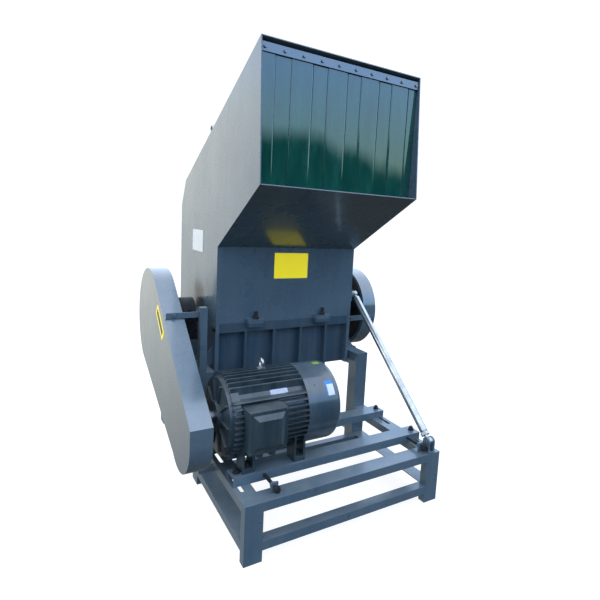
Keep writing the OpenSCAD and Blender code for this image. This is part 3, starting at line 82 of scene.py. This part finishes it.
class Graph:
    # The nodes of a material or a world, with short calls that add one and link it

    def __init__(self, owner, coordinates="Object"):
        owner.use_nodes = True
        self.owner = owner
        self.tree = owner.node_tree
        self.shader = self.tree.nodes.get("Principled BSDF")  # a world has none
        self.place = self.add("ShaderNodeTexCoord").outputs[coordinates]

    def add(self, kind, **settings):
        node = self.tree.nodes.new(kind)
        for key, value in settings.items():
            setattr(node, key, value)
        return node

    def feed(self, socket, value):
        # Links another node's output, or sets a constant
        if isinstance(value, bpy.types.NodeSocket):
            self.tree.links.new(value, socket)
        else:
            socket.default_value = value

    def put(self, node, **values):
        for key, value in values.items():
            self.feed(node.inputs[key.replace("_", " ")], value)
        return node

    def stretched(self, scale):
        node = self.put(self.add("ShaderNodeMapping"), Vector=self.place, Scale=scale)
        return node.outputs["Vector"]

    def split(self, vector):
        # The x, y and z of a vector
        node = self.put(self.add("ShaderNodeSeparateXYZ"), Vector=vector)
        return node.outputs

    def noise(self, scale, detail, rough, vector=None):
        node = self.put(self.add("ShaderNodeTexNoise"), Vector=vector or self.place,
                        Scale=scale, Detail=detail, Roughness=rough)
        return node.outputs["Fac"]

    def span(self, value, low, high, toLow=0.0, toHigh=1.0):
        # Stretches low..high to toLow..toHigh, held at the ends
        node = self.put(self.add("ShaderNodeMapRange"), Value=value, From_Min=low, From_Max=high,
                        To_Min=toLow, To_Max=toHigh)
        return node.outputs["Result"]

    def math(self, what, a, b):
        node = self.add("ShaderNodeMath", operation=what)
        self.feed(node.inputs[0], a)
        self.feed(node.inputs[1], b)
        return node.outputs[0]

    def mix(self, amount, first, second):
        # Sockets 6 and 7 are the node's two colours, and output 2 is the mixed colour
        node = self.add("ShaderNodeMix", data_type="RGBA")
        self.feed(node.inputs[0], amount)
        self.feed(node.inputs[6], first)
        self.feed(node.inputs[7], second)
        return node.outputs[2]

    def bump(self, height, strength, distance, normal=None):
        node = self.put(self.add("ShaderNodeBump"), Height=height, Strength=strength, Distance=distance)
        if normal is not None:
            self.feed(node.inputs["Normal"], normal)
        return node.outputs["Normal"]

    def edge(self, radius):
        return self.put(self.add("ShaderNodeBevel", samples=4), Radius=radius).outputs["Normal"]

    def upward(self):
        # How far a face looks up, from -1 to 1
        return self.split(self.add("ShaderNodeNewGeometry").outputs["Normal"])["Z"]

    def worn(self, radius):
        # Near 1 along sharp edges, broken up by noise, and 0 elsewhere
        rounded = self.edge(radius)
        flat = self.add("ShaderNodeNewGeometry").outputs["Normal"]
        dot = self.add("ShaderNodeVectorMath", operation="DOT_PRODUCT")
        self.feed(dot.inputs[0], rounded)
        self.feed(dot.inputs[1], flat)
        away = self.math("SUBTRACT", 1.0, dot.outputs["Value"])
        broken = self.span(self.noise(scale=45, detail=5, rough=0.7), low=0.52, high=0.68)
        return self.math("MULTIPLY", self.span(away, low=0.03, high=0.25), broken)

    def paint(self, **values):
        self.put(self.shader, **values)
        return self.owner


enamel = {
    "dust": (134, 134, 126), "chip": (120, 126, 130),
    "peelScale": 420, "peelStrength": 0.055, "peelDepth": 0.0004, "scratchDepth": -0.1,
    "coatRoughness": 0.12, "chipReach": 1.5,
}
paintUsual = {
    "dustAmount": 0.35, "wear": 0.5, "rough": (0.26, 0.42), "coat": 0.5, "coatIor": 1.5,
    "edgeRadius": 0.002, "smudge": None,
}
slate = {"colour": (86, 104, 115), "deep": (74, 93, 105)}
paints = {
    "slatePaint": slate,
    # a darker copy of the slate paint for the chamber's front wall: painted shade, standing in for the shade
    # under the motor and hopper
    "paintedShadePaint": {"colour": (60, 80, 94), "deep": (50, 70, 84), "dustAmount": 0.4},
    "hopperPaint": {**slate, "dustAmount": 0.3, "wear": 0.35, "rough": (0.22, 0.38), "coat": 0.45},
    "sidePaint": {**slate, "dustAmount": 0.3, "wear": 0.35, "rough": (0.2, 0.36), "coat": 0.7,
                  "smudge": {"y": 0.33, "z": 1.13, "halfY": 0.13, "halfZ": 0.15, "depth": 0.9,
                             "colour": (40, 48, 54)}},
    "glossPaint": {**slate, "dustAmount": 0.2, "rough": (0.2, 0.34), "coat": 1.0, "coatIor": 1.85},
    "motorPaint": {"colour": (38, 56, 64), "deep": (26, 42, 49), "dustAmount": 0.25, "wear": 0.3,
                   "rough": (0.32, 0.5), "coat": 0.4, "edgeRadius": 0.0015},
    "cowlPaint": {"colour": (48, 68, 80), "deep": (39, 58, 70), "dustAmount": 0.25, "wear": 0.3,
                  "rough": (0.28, 0.44), "coat": 0.8, "edgeRadius": 0.0015, "coatIor": 1.6},
}


def smudgeMark(g, smudge):
    # 1 in the middle and 0 outside an ellipse in y and z: squared offsets over the half widths, plus noise
    place = g.split(g.place)
    offY = g.math("DIVIDE", g.math("SUBTRACT", place["Y"], smudge["y"]), smudge["halfY"])
    offZ = g.math("DIVIDE", g.math("SUBTRACT", place["Z"], smudge["z"]), smudge["halfZ"])
    away = g.math("ADD", g.math("MULTIPLY", offY, offY), g.math("MULTIPLY", offZ, offZ))
    ragged = g.span(g.noise(scale=7, detail=5, rough=0.6), low=0.3, high=0.7, toLow=-0.35, toHigh=0.35)
    return g.span(g.math("ADD", away, ragged), low=0.1, high=1.2, toLow=smudge["depth"], toHigh=0.0)


def paintedSteel(name, spec):
    # Sprayed enamel: cloudy colour, fine orange peel, dust on what faces up, chips along edges
    g = Graph(bpy.data.materials.new(name))
    cloud = g.span(g.noise(scale=2.3, detail=5, rough=0.6), low=0.35, high=0.65)
    runs = g.noise(scale=1.0, detail=6, rough=0.6, vector=g.stretched((14, 14, 1.2)))
    streak = g.span(runs, low=0.4, high=0.75, toHigh=0.55)
    base = g.mix(cloud, linear(spec["deep"]), linear(spec["colour"]))
    base = g.mix(g.math("MULTIPLY", streak, 0.35), base, linear(enamel["dust"]))
    grime = g.span(g.noise(scale=9, detail=6, rough=0.65), low=0.4, high=0.7)
    facing = g.span(g.upward(), low=0.3, high=1.0, toHigh=spec["dustAmount"])
    settled = g.math("MULTIPLY", facing, g.span(grime, low=0, high=1, toLow=0.35))
    base = g.mix(settled, base, linear(enamel["dust"]))
    chips = g.math("MULTIPLY", g.worn(spec["edgeRadius"] * enamel["chipReach"]), spec["wear"])
    base = g.mix(chips, base, linear(enamel["chip"]))
    coat = spec["coat"]
    if spec["smudge"]:
        mark = smudgeMark(g, spec["smudge"])
        base = g.mix(mark, base, linear(spec["smudge"]["colour"]))
        coat = g.math("SUBTRACT", coat, g.math("MULTIPLY", mark, coat))  # soot dulls the gloss
    peel = g.noise(scale=enamel["peelScale"], detail=2, rough=0.5)
    lines = g.noise(scale=3, detail=8, rough=0.75, vector=g.stretched((3, 40, 40)))
    scratch = g.span(lines, low=0.62, high=0.7)
    height = g.math("ADD", peel, g.math("MULTIPLY", scratch, enamel["scratchDepth"]))
    patchy = g.math("ADD", g.noise(scale=6, detail=5, rough=0.6), g.math("MULTIPLY", settled, 0.7))
    normal = g.bump(height, enamel["peelStrength"], enamel["peelDepth"], g.edge(spec["edgeRadius"]))
    return g.paint(Base_Color=base, Roughness=g.span(patchy, 0.3, 0.8, *spec["rough"]), Normal=normal,
                   Coat_Weight=coat, Coat_Roughness=enamel["coatRoughness"], Coat_IOR=spec["coatIor"],
                   Specular_IOR_Level=0.5)


steelUsual = {
    "metallic": 1.0, "rust": 0.0, "rustColour": (94, 62, 42), "edgeRadius": 0.0012,
    "grain": (1, 60, 60), "grainStrength": 0.15, "grainDepth": 0.0003,
}
steels = {
    "zincPlate": {"colour": (196, 199, 197), "deep": (158, 162, 162), "rough": (0.22, 0.42), "rust": 0.15},
    "knifeSteel": {"colour": (150, 153, 156), "deep": (110, 112, 114), "rough": (0.25, 0.45), "rust": 0.2},
    "screenSteel": {"colour": (120, 122, 124), "deep": (84, 85, 86), "rough": (0.35, 0.6), "rust": 0.4},
    "windingVarnish": {"colour": (140, 78, 40), "deep": (90, 48, 26), "rough": (0.3, 0.5), "metallic": 0.6},
}


def bareSteel(name, spec):
    # Machined or plated steel: fine drawn grain, cloudy tarnish and a little rust
    g = Graph(bpy.data.materials.new(name))
    drawn = g.noise(scale=30, detail=4, rough=0.7, vector=g.stretched(spec["grain"]))
    cloud = g.noise(scale=11, detail=6, rough=0.65)
    base = g.mix(g.span(cloud, low=0.35, high=0.7), linear(spec["colour"]), linear(spec["deep"]))
    spots = g.span(g.noise(scale=38, detail=7, rough=0.7), low=0.58, high=0.66, toHigh=spec["rust"])
    base = g.mix(spots, base, linear(spec["rustColour"]))
    uneven = g.math("ADD", g.math("MULTIPLY", drawn, 0.5), g.math("MULTIPLY", cloud, 0.5))
    normal = g.bump(drawn, spec["grainStrength"], spec["grainDepth"], g.edge(spec["edgeRadius"]))
    return g.paint(Base_Color=base, Roughness=g.span(uneven, 0.3, 0.7, *spec["rough"]),
                   Metallic=spec["metallic"], Normal=normal)


ironUsual = {
    "metallic": 0.35, "bright": (120, 122, 124), "wear": 0.6, "wearRadius": 0.003, "edgeRadius": 0.0015,
    "skinScale": 260, "skinStrength": 0.35, "skinDepth": 0.0006,
}
irons = {
    "darkIron": {"colour": (44, 47, 51), "deep": (28, 30, 33), "rough": (0.4, 0.62)},
    "boltBlack": {"colour": (52, 54, 57), "deep": (34, 35, 38), "rough": (0.3, 0.52)},
}


def castIron(name, spec):
    # Dark cast or blackened iron with a grainy skin, an oily sheen and brighter edges
    g = Graph(bpy.data.materials.new(name))
    skin = g.noise(scale=spec["skinScale"], detail=4, rough=0.7)
    cloud = g.noise(scale=14, detail=5, rough=0.6)
    base = g.mix(g.span(cloud, low=0.35, high=0.7), linear(spec["colour"]), linear(spec["deep"]))
    rubbed = g.math("MULTIPLY", g.worn(spec["wearRadius"]), spec["wear"])
    base = g.mix(rubbed, base, linear(spec["bright"]))
    normal = g.bump(skin, spec["skinStrength"], spec["skinDepth"], g.edge(spec["edgeRadius"]))
    return g.paint(Base_Color=base, Roughness=g.span(cloud, 0.3, 0.7, *spec["rough"]),
                   Metallic=spec["metallic"], Normal=normal)


rubberLook = {
    "dark": (20, 20, 21), "pale": (38, 38, 38), "roughness": 0.72,
    "fibreScale": 180, "fibreStrength": 0.4, "fibreDepth": 0.0005,
}


def beltRubber(name):
    # Black rubber with short pale fibres
    g = Graph(bpy.data.materials.new(name))
    fibre = g.noise(scale=rubberLook["fibreScale"], detail=3, rough=0.6)
    base = g.mix(fibre, linear(rubberLook["dark"]), linear(rubberLook["pale"]))
    normal = g.bump(fibre, rubberLook["fibreStrength"], rubberLook["fibreDepth"])
    return g.paint(Base_Color=base, Roughness=rubberLook["roughness"], Normal=normal)


curtainLook = {
    "tint": (14, 74, 64), "pale": (34, 96, 84), "clear": 0.18, "ior": 1.5, "rough": (0.03, 0.09),
    "coat": 1.0, "coatIor": 1.5, "coatRoughness": 0.03, "rippleStrength": 0.12, "rippleDepth": 0.006,
}


def softVinyl(name):
    # Green tinted vinyl: see-through in part, glossy, with faint ripples and hanging marks
    g = Graph(bpy.data.materials.new(name))
    cloud = g.noise(scale=4, detail=4, rough=0.6, vector=g.stretched((4, 4, 1)))
    cloud = g.span(cloud, low=0.35, high=0.7)
    base = g.mix(cloud, linear(curtainLook["tint"]), linear(curtainLook["pale"]))
    smear = g.noise(scale=22, detail=5, rough=0.6, vector=g.stretched((3, 3, 0.6)))
    ripple = g.noise(scale=6, detail=2, rough=0.5, vector=g.stretched((2, 2, 0.4)))
    normal = g.bump(ripple, curtainLook["rippleStrength"], curtainLook["rippleDepth"])
    return g.paint(Base_Color=base, Roughness=g.span(smear, 0.35, 0.7, *curtainLook["rough"]),
                   Transmission_Weight=curtainLook["clear"], IOR=curtainLook["ior"],
                   Specular_IOR_Level=0.8, Coat_Weight=curtainLook["coat"],
                   Coat_IOR=curtainLook["coatIor"], Coat_Roughness=curtainLook["coatRoughness"],
                   Normal=normal)


plateUsual = {
    "rough": (0.35, 0.5), "metallic": 0.0, "paintedGlow": 0.0, "coat": 0.3,
    "skinScale": 300, "skinStrength": 0.1, "skinDepth": 0.0003,
}
prints = {
    # the yellow plate's emission is a painted glow that makes it brighter than its colour
    "yellowPlate": {"colour": (250, 226, 36), "fade": (240, 212, 34), "paintedGlow": 0.45},
    "whitePlate": {"colour": (222, 223, 221), "fade": (206, 208, 207)},
    "alloyPlate": {"colour": (176, 184, 196), "fade": (150, 158, 170), "rough": (0.3, 0.45), "metallic": 0.5},
    "darkPlate": {"colour": (24, 26, 28), "fade": (34, 36, 38)},
    "bluePlate": {"colour": (36, 130, 196), "fade": (30, 112, 172)},
    "limeTag": {"colour": (160, 190, 60), "fade": (130, 160, 50)},
}


def printedPlate(name, spec):
    # Bare enamelled or printed plate with faint fading; a bright print is given a little emission, a painted
    # glow though it is no lamp
    g = Graph(bpy.data.materials.new(name))
    cloud = g.noise(scale=26, detail=5, rough=0.6)
    base = g.mix(g.span(cloud, low=0.3, high=0.75), linear(spec["colour"]), linear(spec["fade"]))
    skin = g.noise(scale=spec["skinScale"], detail=2, rough=0.5)
    return g.paint(Base_Color=base, Roughness=g.span(cloud, 0.3, 0.7, *spec["rough"]),
                   Metallic=spec["metallic"], Coat_Weight=spec["coat"],
                   Normal=g.bump(skin, spec["skinStrength"], spec["skinDepth"]),
                   # the emission is a painted glow, not a lamp
                   Emission_Color=linear(spec["colour"]), Emission_Strength=spec["paintedGlow"])


paint = {name: paintedSteel(name, {**paintUsual, **spec}) for name, spec in paints.items()}
steel = {name: bareSteel(name, {**steelUsual, **spec}) for name, spec in steels.items()}
iron = {name: castIron(name, {**ironUsual, **spec}) for name, spec in irons.items()}
rubber = beltRubber("beltRubber")
vinyl = softVinyl("curtainVinyl")
plateFinish = {name: printedPlate(name, {**plateUsual, **spec}) for name, spec in prints.items()}
print("materials made")

finishes = {
    "slate_paint": paint["slatePaint"], "motor_paint": paint["motorPaint"], "zinc_plate": steel["zincPlate"],
    "bright_steel": steel["knifeSteel"], "dark_iron": iron["darkIron"], "winding": steel["windingVarnish"],
    "belt_rubber": rubber, "curtain_vinyl": vinyl,
}
special = {
    "hopper_side_left": paint["sidePaint"], "hopper_side_right": paint["hopperPaint"],
    "hopper_front": paint["hopperPaint"], "hopper_roof": paint["hopperPaint"],
    "belt_guard": paint["glossPaint"], "flywheel_guard": paint["glossPaint"],
    # the chamber's front wall takes the darker copy of the slate paint, which is painted shade
    "curtain_bar": paint["glossPaint"], "chamber_front_wall": paint["paintedShadePaint"],
    "fan_cowl": paint["cowlPaint"], "screen": steel["screenSteel"], "lifting_eyes": steel["zincPlate"],
    "mounting_bolts": iron["boltBlack"], "flange_bolts": iron["boltBlack"],
    "tension_screws": iron["boltBlack"], "clamp_screw_left": iron["boltBlack"],
    "clamp_screw_right": iron["boltBlack"],
}


def dressNodes():
    slots = {part["node"]: part["material_slot"] for part in frame["record"]["subparts"]}
    for name, obj in nodes.items():
        for place in obj.material_slots:
            place.material = special.get(name, finishes[slots[name]])
    print("cad nodes dressed")


def meshFrom(name, points, faces, material, body, smooth=True):
    mesh = bpy.data.meshes.new(name)
    mesh.from_pydata(np.asarray(points).tolist(), [], np.asarray(faces).tolist())
    mesh.update()
    mesh.polygons.foreach_set("use_smooth", [smooth] * len(mesh.polygons))
    mesh.materials.append(material)
    obj = bpy.data.objects.new(name, mesh)
    bpy.context.scene.collection.objects.link(obj)
    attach(obj, body)
    return obj


def gridFaces(rows, columns, roundColumns=False):
    # Quads of a grid numbered row by row; round columns join the last one to the first
    across = columns if roundColumns else columns - 1
    r, c = np.divmod(np.arange((rows - 1) * across), across)
    r2, c2 = r + 1, (c + 1) % columns
    return np.stack([r * columns + c, r * columns + c2, r2 * columns + c2, r2 * columns + c], 1)


curtain = {
    "pitch": 0.111, "lap": 0.020, "count": 10, "thickness": 0.003, "half": 0.5182,
    "low": 1.865, "top": 2.575, "planes": (-0.6125, -0.6092), "rows": 48, "columns": 13,
    "sway": 0.0005, "cup": 0.0004, "spread": 0.0004, "phase": 1.7, "halfWaves": 1.6,
    "swayTurn": 0.9, "cupTurn": 2.1, "cupShift": 0.4, "easeRate": 1.3, "easeFrom": 0.12, "easePower": 1.5,
}


def curtainStrip(index):
    # y = plane + ease * (spread + sway * slow sine down the height + cup * ((2u - 1) squared - shift))
    # ease grows from 0 at the bar to 1 near the free end, and each strip has its own phase
    middle = (index - (curtain["count"] - 1) / 2) * curtain["pitch"]
    halfWidth = (curtain["pitch"] + curtain["lap"]) / 2
    left = max(-curtain["half"], middle - halfWidth)
    right = min(curtain["half"], middle + halfWidth)
    v = np.linspace(0, 1, curtain["rows"])
    u = np.linspace(0, 1, curtain["columns"])
    v, u = np.meshgrid(v, u, indexing="ij")
    drop = curtain["top"] - curtain["low"]
    phase = curtain["phase"] * index
    ease = np.clip(v * curtain["easeRate"] - curtain["easeFrom"], 0, 1) ** curtain["easePower"]
    sine = np.sin(curtain["halfWaves"] * v * math.pi + phase) + math.sin(curtain["swayTurn"] * phase)
    cup = curtain["cup"] * math.sin(curtain["cupTurn"] * phase) * ((2 * u - 1) ** 2 - curtain["cupShift"])
    side = -1 if index % 2 == 0 else 1
    x = left + (right - left) * u
    y = curtain["planes"][index % 2] + ease * (side * curtain["spread"] + curtain["sway"] * sine + cup)
    z = curtain["top"] - drop * v
    points = np.stack([x, y, z], -1).reshape(-1, 3)
    faces = gridFaces(curtain["rows"], curtain["columns"])[:, ::-1]
    piece = meshFrom("curtainStrip_%d" % index, points, faces, vinyl, "curtain")
    solid = piece.modifiers.new("thickness", "SOLIDIFY")
    solid.thickness = curtain["thickness"]
    solid.offset = 0
    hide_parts("curtain_strips")


def makeCurtain():
    for index in range(curtain["count"]):
        curtainStrip(index)
    print("curtain strips made")


plates = {
    "noticePlateFront": {"body": "hopper", "centre": (0.003, -0.050, 1.398), "across": (1, 0, 0),
                         "up": (0, 0, 1), "size": (0.258, 0.174), "corner": 0.006, "lift": 0.0016,
                         "finish": "yellowPlate"},
    "noticePlateSide": {"body": "hopper", "centre": (-0.525, 0.385, 1.535), "across": (0, -1, 0),
                        "up": (0, 0, 1), "size": (0.25, 0.15), "corner": 0.004, "lift": 0.0014,
                        "finish": "whitePlate"},
    "guardPlateRim": {"body": "frame", "centre": (-0.862, -0.004, 1.048), "across": (0, -0.779, -0.627),
                      "up": (0, -0.627, 0.779), "size": (0.225, 0.078), "corner": 0.012, "lift": 0.0006,
                      "finish": "yellowPlate"},
    "guardPlateFace": {"body": "frame", "centre": (-0.8626, -0.004, 1.048), "across": (0, -0.779, -0.627),
                       "up": (0, -0.627, 0.779), "size": (0.189, 0.042), "corner": 0.008, "lift": 0.0004,
                       "finish": "darkPlate"},
}
plateRing = {"points": 48, "shares": (0.0, 0.5, 0.97, 1.0, 1.0), "rimShare": 0.8, "foot": 0.0002}


def roundedPlate(name, spec):
    # A ring of a rectangle with quarter circles at its corners, scaled from the middle out, then down the rim
    across, up = np.array(spec["across"], float), np.array(spec["up"], float)
    out = np.cross(across, up)
    wide, high = spec["size"][0] / 2, spec["size"][1] / 2
    corner, lift = spec["corner"], spec["lift"]
    turn = np.linspace(0, 2 * np.pi, plateRing["points"] + 1)[:-1]
    quarter = np.floor(turn / (np.pi / 2) + 1e-9)
    signX = np.where((quarter == 0) | (quarter == 3), 1, -1)
    signY = np.where(quarter < 2, 1, -1)
    ringX = signX * (wide - corner) + corner * np.cos(turn)
    ringY = signY * (high - corner) + corner * np.sin(turn)
    ring = np.stack([ringX, ringY], 1)
    shares = plateRing["shares"]
    points = np.concatenate([ring * share for share in shares])
    heights = np.repeat((lift, lift, lift, lift * plateRing["rimShare"], plateRing["foot"]), len(ring))
    flat = points[:, :1] * across + points[:, 1:] * up
    xyz = np.array(spec["centre"]) + flat + heights[:, None] * out
    faces = gridFaces(len(shares), len(ring), roundColumns=True)
    return meshFrom(name, xyz, faces, plateFinish[spec["finish"]], spec["body"], smooth=False)


motorMarks = {
    "cowlLabelHead": {"x": (-0.079, -0.027), "angles": (41.5, 47.0), "lift": 0.0005, "finish": "bluePlate"},
    "cowlLabelEdge": {"x": (-0.079, -0.070), "angles": (25.5, 41.5), "lift": 0.0005, "finish": "bluePlate"},
    "cowlLabelBody": {"x": (-0.070, -0.027), "angles": (25.5, 41.5), "lift": 0.0005, "finish": "whitePlate"},
    "cowlTag": {"x": (-0.072, -0.031), "angles": (83.0, 92.0), "lift": 0.0004, "finish": "limeTag"},
    "motorPlate": {"x": (-0.412, -0.306), "angles": (37.1, 52.9), "lift": 0.0012, "finish": "alloyPlate",
                   "radius": 0.2081},  # on the bare band between the fins
    "cowlScrew": {"x": (-0.150, -0.142), "angles": (42.2, 44.2), "lift": 0.0006, "finish": "darkPlate"},
}
motorAxis = {"y": -0.514, "z": 0.62, "cowlRadius": 0.234, "rimLift": 0.0001, "rows": 15, "columns": 9}


def curvedMark(name, spec):
    # A patch of the motor's cylinder: y = axis - r cos(angle), z = axis + r sin(angle)
    # r is the skin's radius plus the lift, or plus next to nothing along the patch's rim
    rows, columns = motorAxis["rows"], motorAxis["columns"]
    row, column = np.meshgrid(np.arange(rows), np.arange(columns), indexing="ij")
    v, u = row / (rows - 1), column / (columns - 1)
    angle = np.radians(spec["angles"][0] + (spec["angles"][1] - spec["angles"][0]) * v)
    x = spec["x"][0] + (spec["x"][1] - spec["x"][0]) * u
    inside = (row > 0) & (row < rows - 1) & (column > 0) & (column < columns - 1)
    r = spec.get("radius", motorAxis["cowlRadius"]) + np.where(inside, spec["lift"], motorAxis["rimLift"])
    points = np.stack([x, motorAxis["y"] - r * np.cos(angle), motorAxis["z"] + r * np.sin(angle)], -1)
    faces = gridFaces(rows, columns)[:, ::-1]
    return meshFrom(name, points.reshape(-1, 3), faces, plateFinish[spec["finish"]], "frame")


def makePlates():
    for name, spec in plates.items():
        roundedPlate(name, spec)
    for name, spec in motorMarks.items():
        curvedMark(name, spec)
    print("plates made")


stage = {
    "floorSize": 14.0, "wallAt": 5.0, "wallTop": 9.0, "bend": 2.0, "bendPoints": 24,
    "floor": (0.86, 0.86, 0.86), "glow": 1.22, "glowShare": 0.72,
}


def makeStage():
    # Floor that bends up into a back wall: y and z follow a quarter circle between them
    half, far, bend = stage["floorSize"], stage["wallAt"], stage["bend"]
    turn = np.linspace(0, math.pi / 2, stage["bendPoints"])
    y = np.concatenate([[-half, far - bend], far - bend + bend * np.sin(turn), [far]])
    z = np.concatenate([[0, 0], bend - bend * np.cos(turn), [stage["wallTop"]]])
    x = np.array([-half, half])
    points = np.stack([np.repeat(x, len(y)), np.tile(y, 2), np.tile(z, 2)], 1)
    mesh = bpy.data.meshes.new("backdrop")
    mesh.from_pydata(points.tolist(), [], gridFaces(2, len(y))[:, ::-1].tolist())
    # The camera sees a white floor with the shadow on it; every other ray passes through to the dome
    g = Graph(bpy.data.materials.new("backdropWhite"))
    g.paint(Base_Color=(*stage["floor"], 1), Roughness=1.0, Specular_IOR_Level=0.0)
    glow = g.put(g.add("ShaderNodeEmission"), Color=(1, 1, 1, 1), Strength=stage["glow"])
    white = g.add("ShaderNodeMixShader")
    white.inputs[0].default_value = stage["glowShare"]
    g.tree.links.new(g.shader.outputs[0], white.inputs[1])
    g.tree.links.new(glow.outputs[0], white.inputs[2])
    final = g.add("ShaderNodeMixShader")
    g.tree.links.new(g.add("ShaderNodeLightPath").outputs["Is Camera Ray"], final.inputs[0])
    g.tree.links.new(g.add("ShaderNodeBsdfTransparent").outputs[0], final.inputs[1])
    g.tree.links.new(white.outputs[0], final.inputs[2])
    g.tree.links.new(final.outputs[0], g.tree.nodes["Material Output"].inputs["Surface"])
    mesh.materials.append(g.owner)
    obj = bpy.data.objects.new("backdrop", mesh)
    bpy.context.scene.collection.objects.link(obj)


lamps = {
    "left": {"at": (-4.6, 1.2, 3.0), "to": (-0.4, 0.2, 1.3), "size": (3.5, 3.5), "watts": 70,
             "colour": (1.0, 0.985, 0.955)},
}
dome = {
    "under": (0.09, 0.095, 0.095), "underBright": (0.36, 0.36, 0.35), "band": (0.012, 0.05, 0.036),
    "low": (1.0, 1.5, 1.3), "middle": (0.95, 1.55, 2.7), "high": (1.6, 1.85, 2.3),
    "bright": (1.38, 1.38, 1.28), "brightWay": (-0.62, 0.78),
    # how far a direction points to the bright side, at the two ends of a change
    "glareSide": (0.1, 0.95), "nearSide": (0.1, 0.5), "bandSide": (0.5, -0.1),
    # the direction's z at the two ends of a change
    "glareFade": (0.75, 0.2), "toMiddle": (0.12, 0.3), "toHigh": (0.34, 0.62),
    "belowToUpper": (-0.5, 0.25), "horizon": (-0.03, 0.0), "bandBlur": (-0.012, 0.02),
    # the band's top falls from the first z to the second as the direction's x goes across
    "bandTop": (0.178, 0.105), "bandAcross": (0.485, 0.66),
}


def makeDome():
    # Plain studio dome by direction: dark below, pale blue above, a bright side at the left and back,
    # and a low dark band in front whose top falls to the right
    world = bpy.data.worlds.new("studioDome")
    bpy.context.scene.world = world
    g = Graph(world, "Generated")
    x, y, z = g.split(g.place)
    names = ("under", "underBright", "band", "low", "middle", "high", "bright")
    shade = {name: (*dome[name], 1) for name in names}
    wayX, wayY = dome["brightWay"]
    side = g.math("ADD", g.math("MULTIPLY", x, wayX), g.math("MULTIPLY", y, wayY))
    glare = g.span(side, *dome["glareSide"])
    blue = g.mix(g.span(z, *dome["toMiddle"]), shade["low"], shade["middle"])
    blue = g.mix(g.span(z, *dome["toHigh"]), blue, shade["high"])
    upper = g.mix(g.math("MULTIPLY", glare, g.span(z, *dome["glareFade"])), blue, shade["bright"])
    bandTop = g.span(x, *dome["bandAcross"], *dome["bandTop"])
    bandTop = g.math("MULTIPLY", g.span(side, *dome["bandSide"]), bandTop)
    near = g.mix(g.span(g.math("SUBTRACT", z, bandTop), *dome["bandBlur"]), shade["band"], upper)
    below = g.mix(glare, shade["under"], shade["underBright"])
    far = g.mix(g.span(z, *dome["belowToUpper"]), below, upper)
    low = g.mix(glare, shade["under"], far)
    above = g.mix(g.span(side, *dome["nearSide"]), near, far)
    whole = g.mix(g.span(z, *dome["horizon"]), low, above)
    seen = g.mix(g.add("ShaderNodeLightPath").outputs["Is Camera Ray"], whole, (1, 1, 1, 1))
    g.put(g.tree.nodes["Background"], Color=seen, Strength=1.0)


def makeLight():
    for name, spec in lamps.items():
        data = bpy.data.lights.new(name, "AREA")
        data.shape = "RECTANGLE"
        data.size, data.size_y = spec["size"]
        data.energy = spec["watts"]
        data.color = spec["colour"]
        obj = bpy.data.objects.new(name, data)
        bpy.context.scene.collection.objects.link(obj)
        ahead = np.array(spec["to"], float) - np.array(spec["at"], float)
        ahead /= np.linalg.norm(ahead)
        right = np.cross(ahead, (0, 0, 1))
        right /= np.linalg.norm(right)
        turn = Matrix(np.stack([right, np.cross(right, ahead), -ahead], 1).tolist())
        obj.matrix_world = Matrix.Translation(spec["at"]) @ turn.to_4x4()
    makeDome()
    bpy.context.scene.view_settings.view_transform = "Standard"
    print("lights made")


setCamera()
print("camera set")
makeStage()
makeLight()
dressNodes()
makeCurtain()
makePlates()
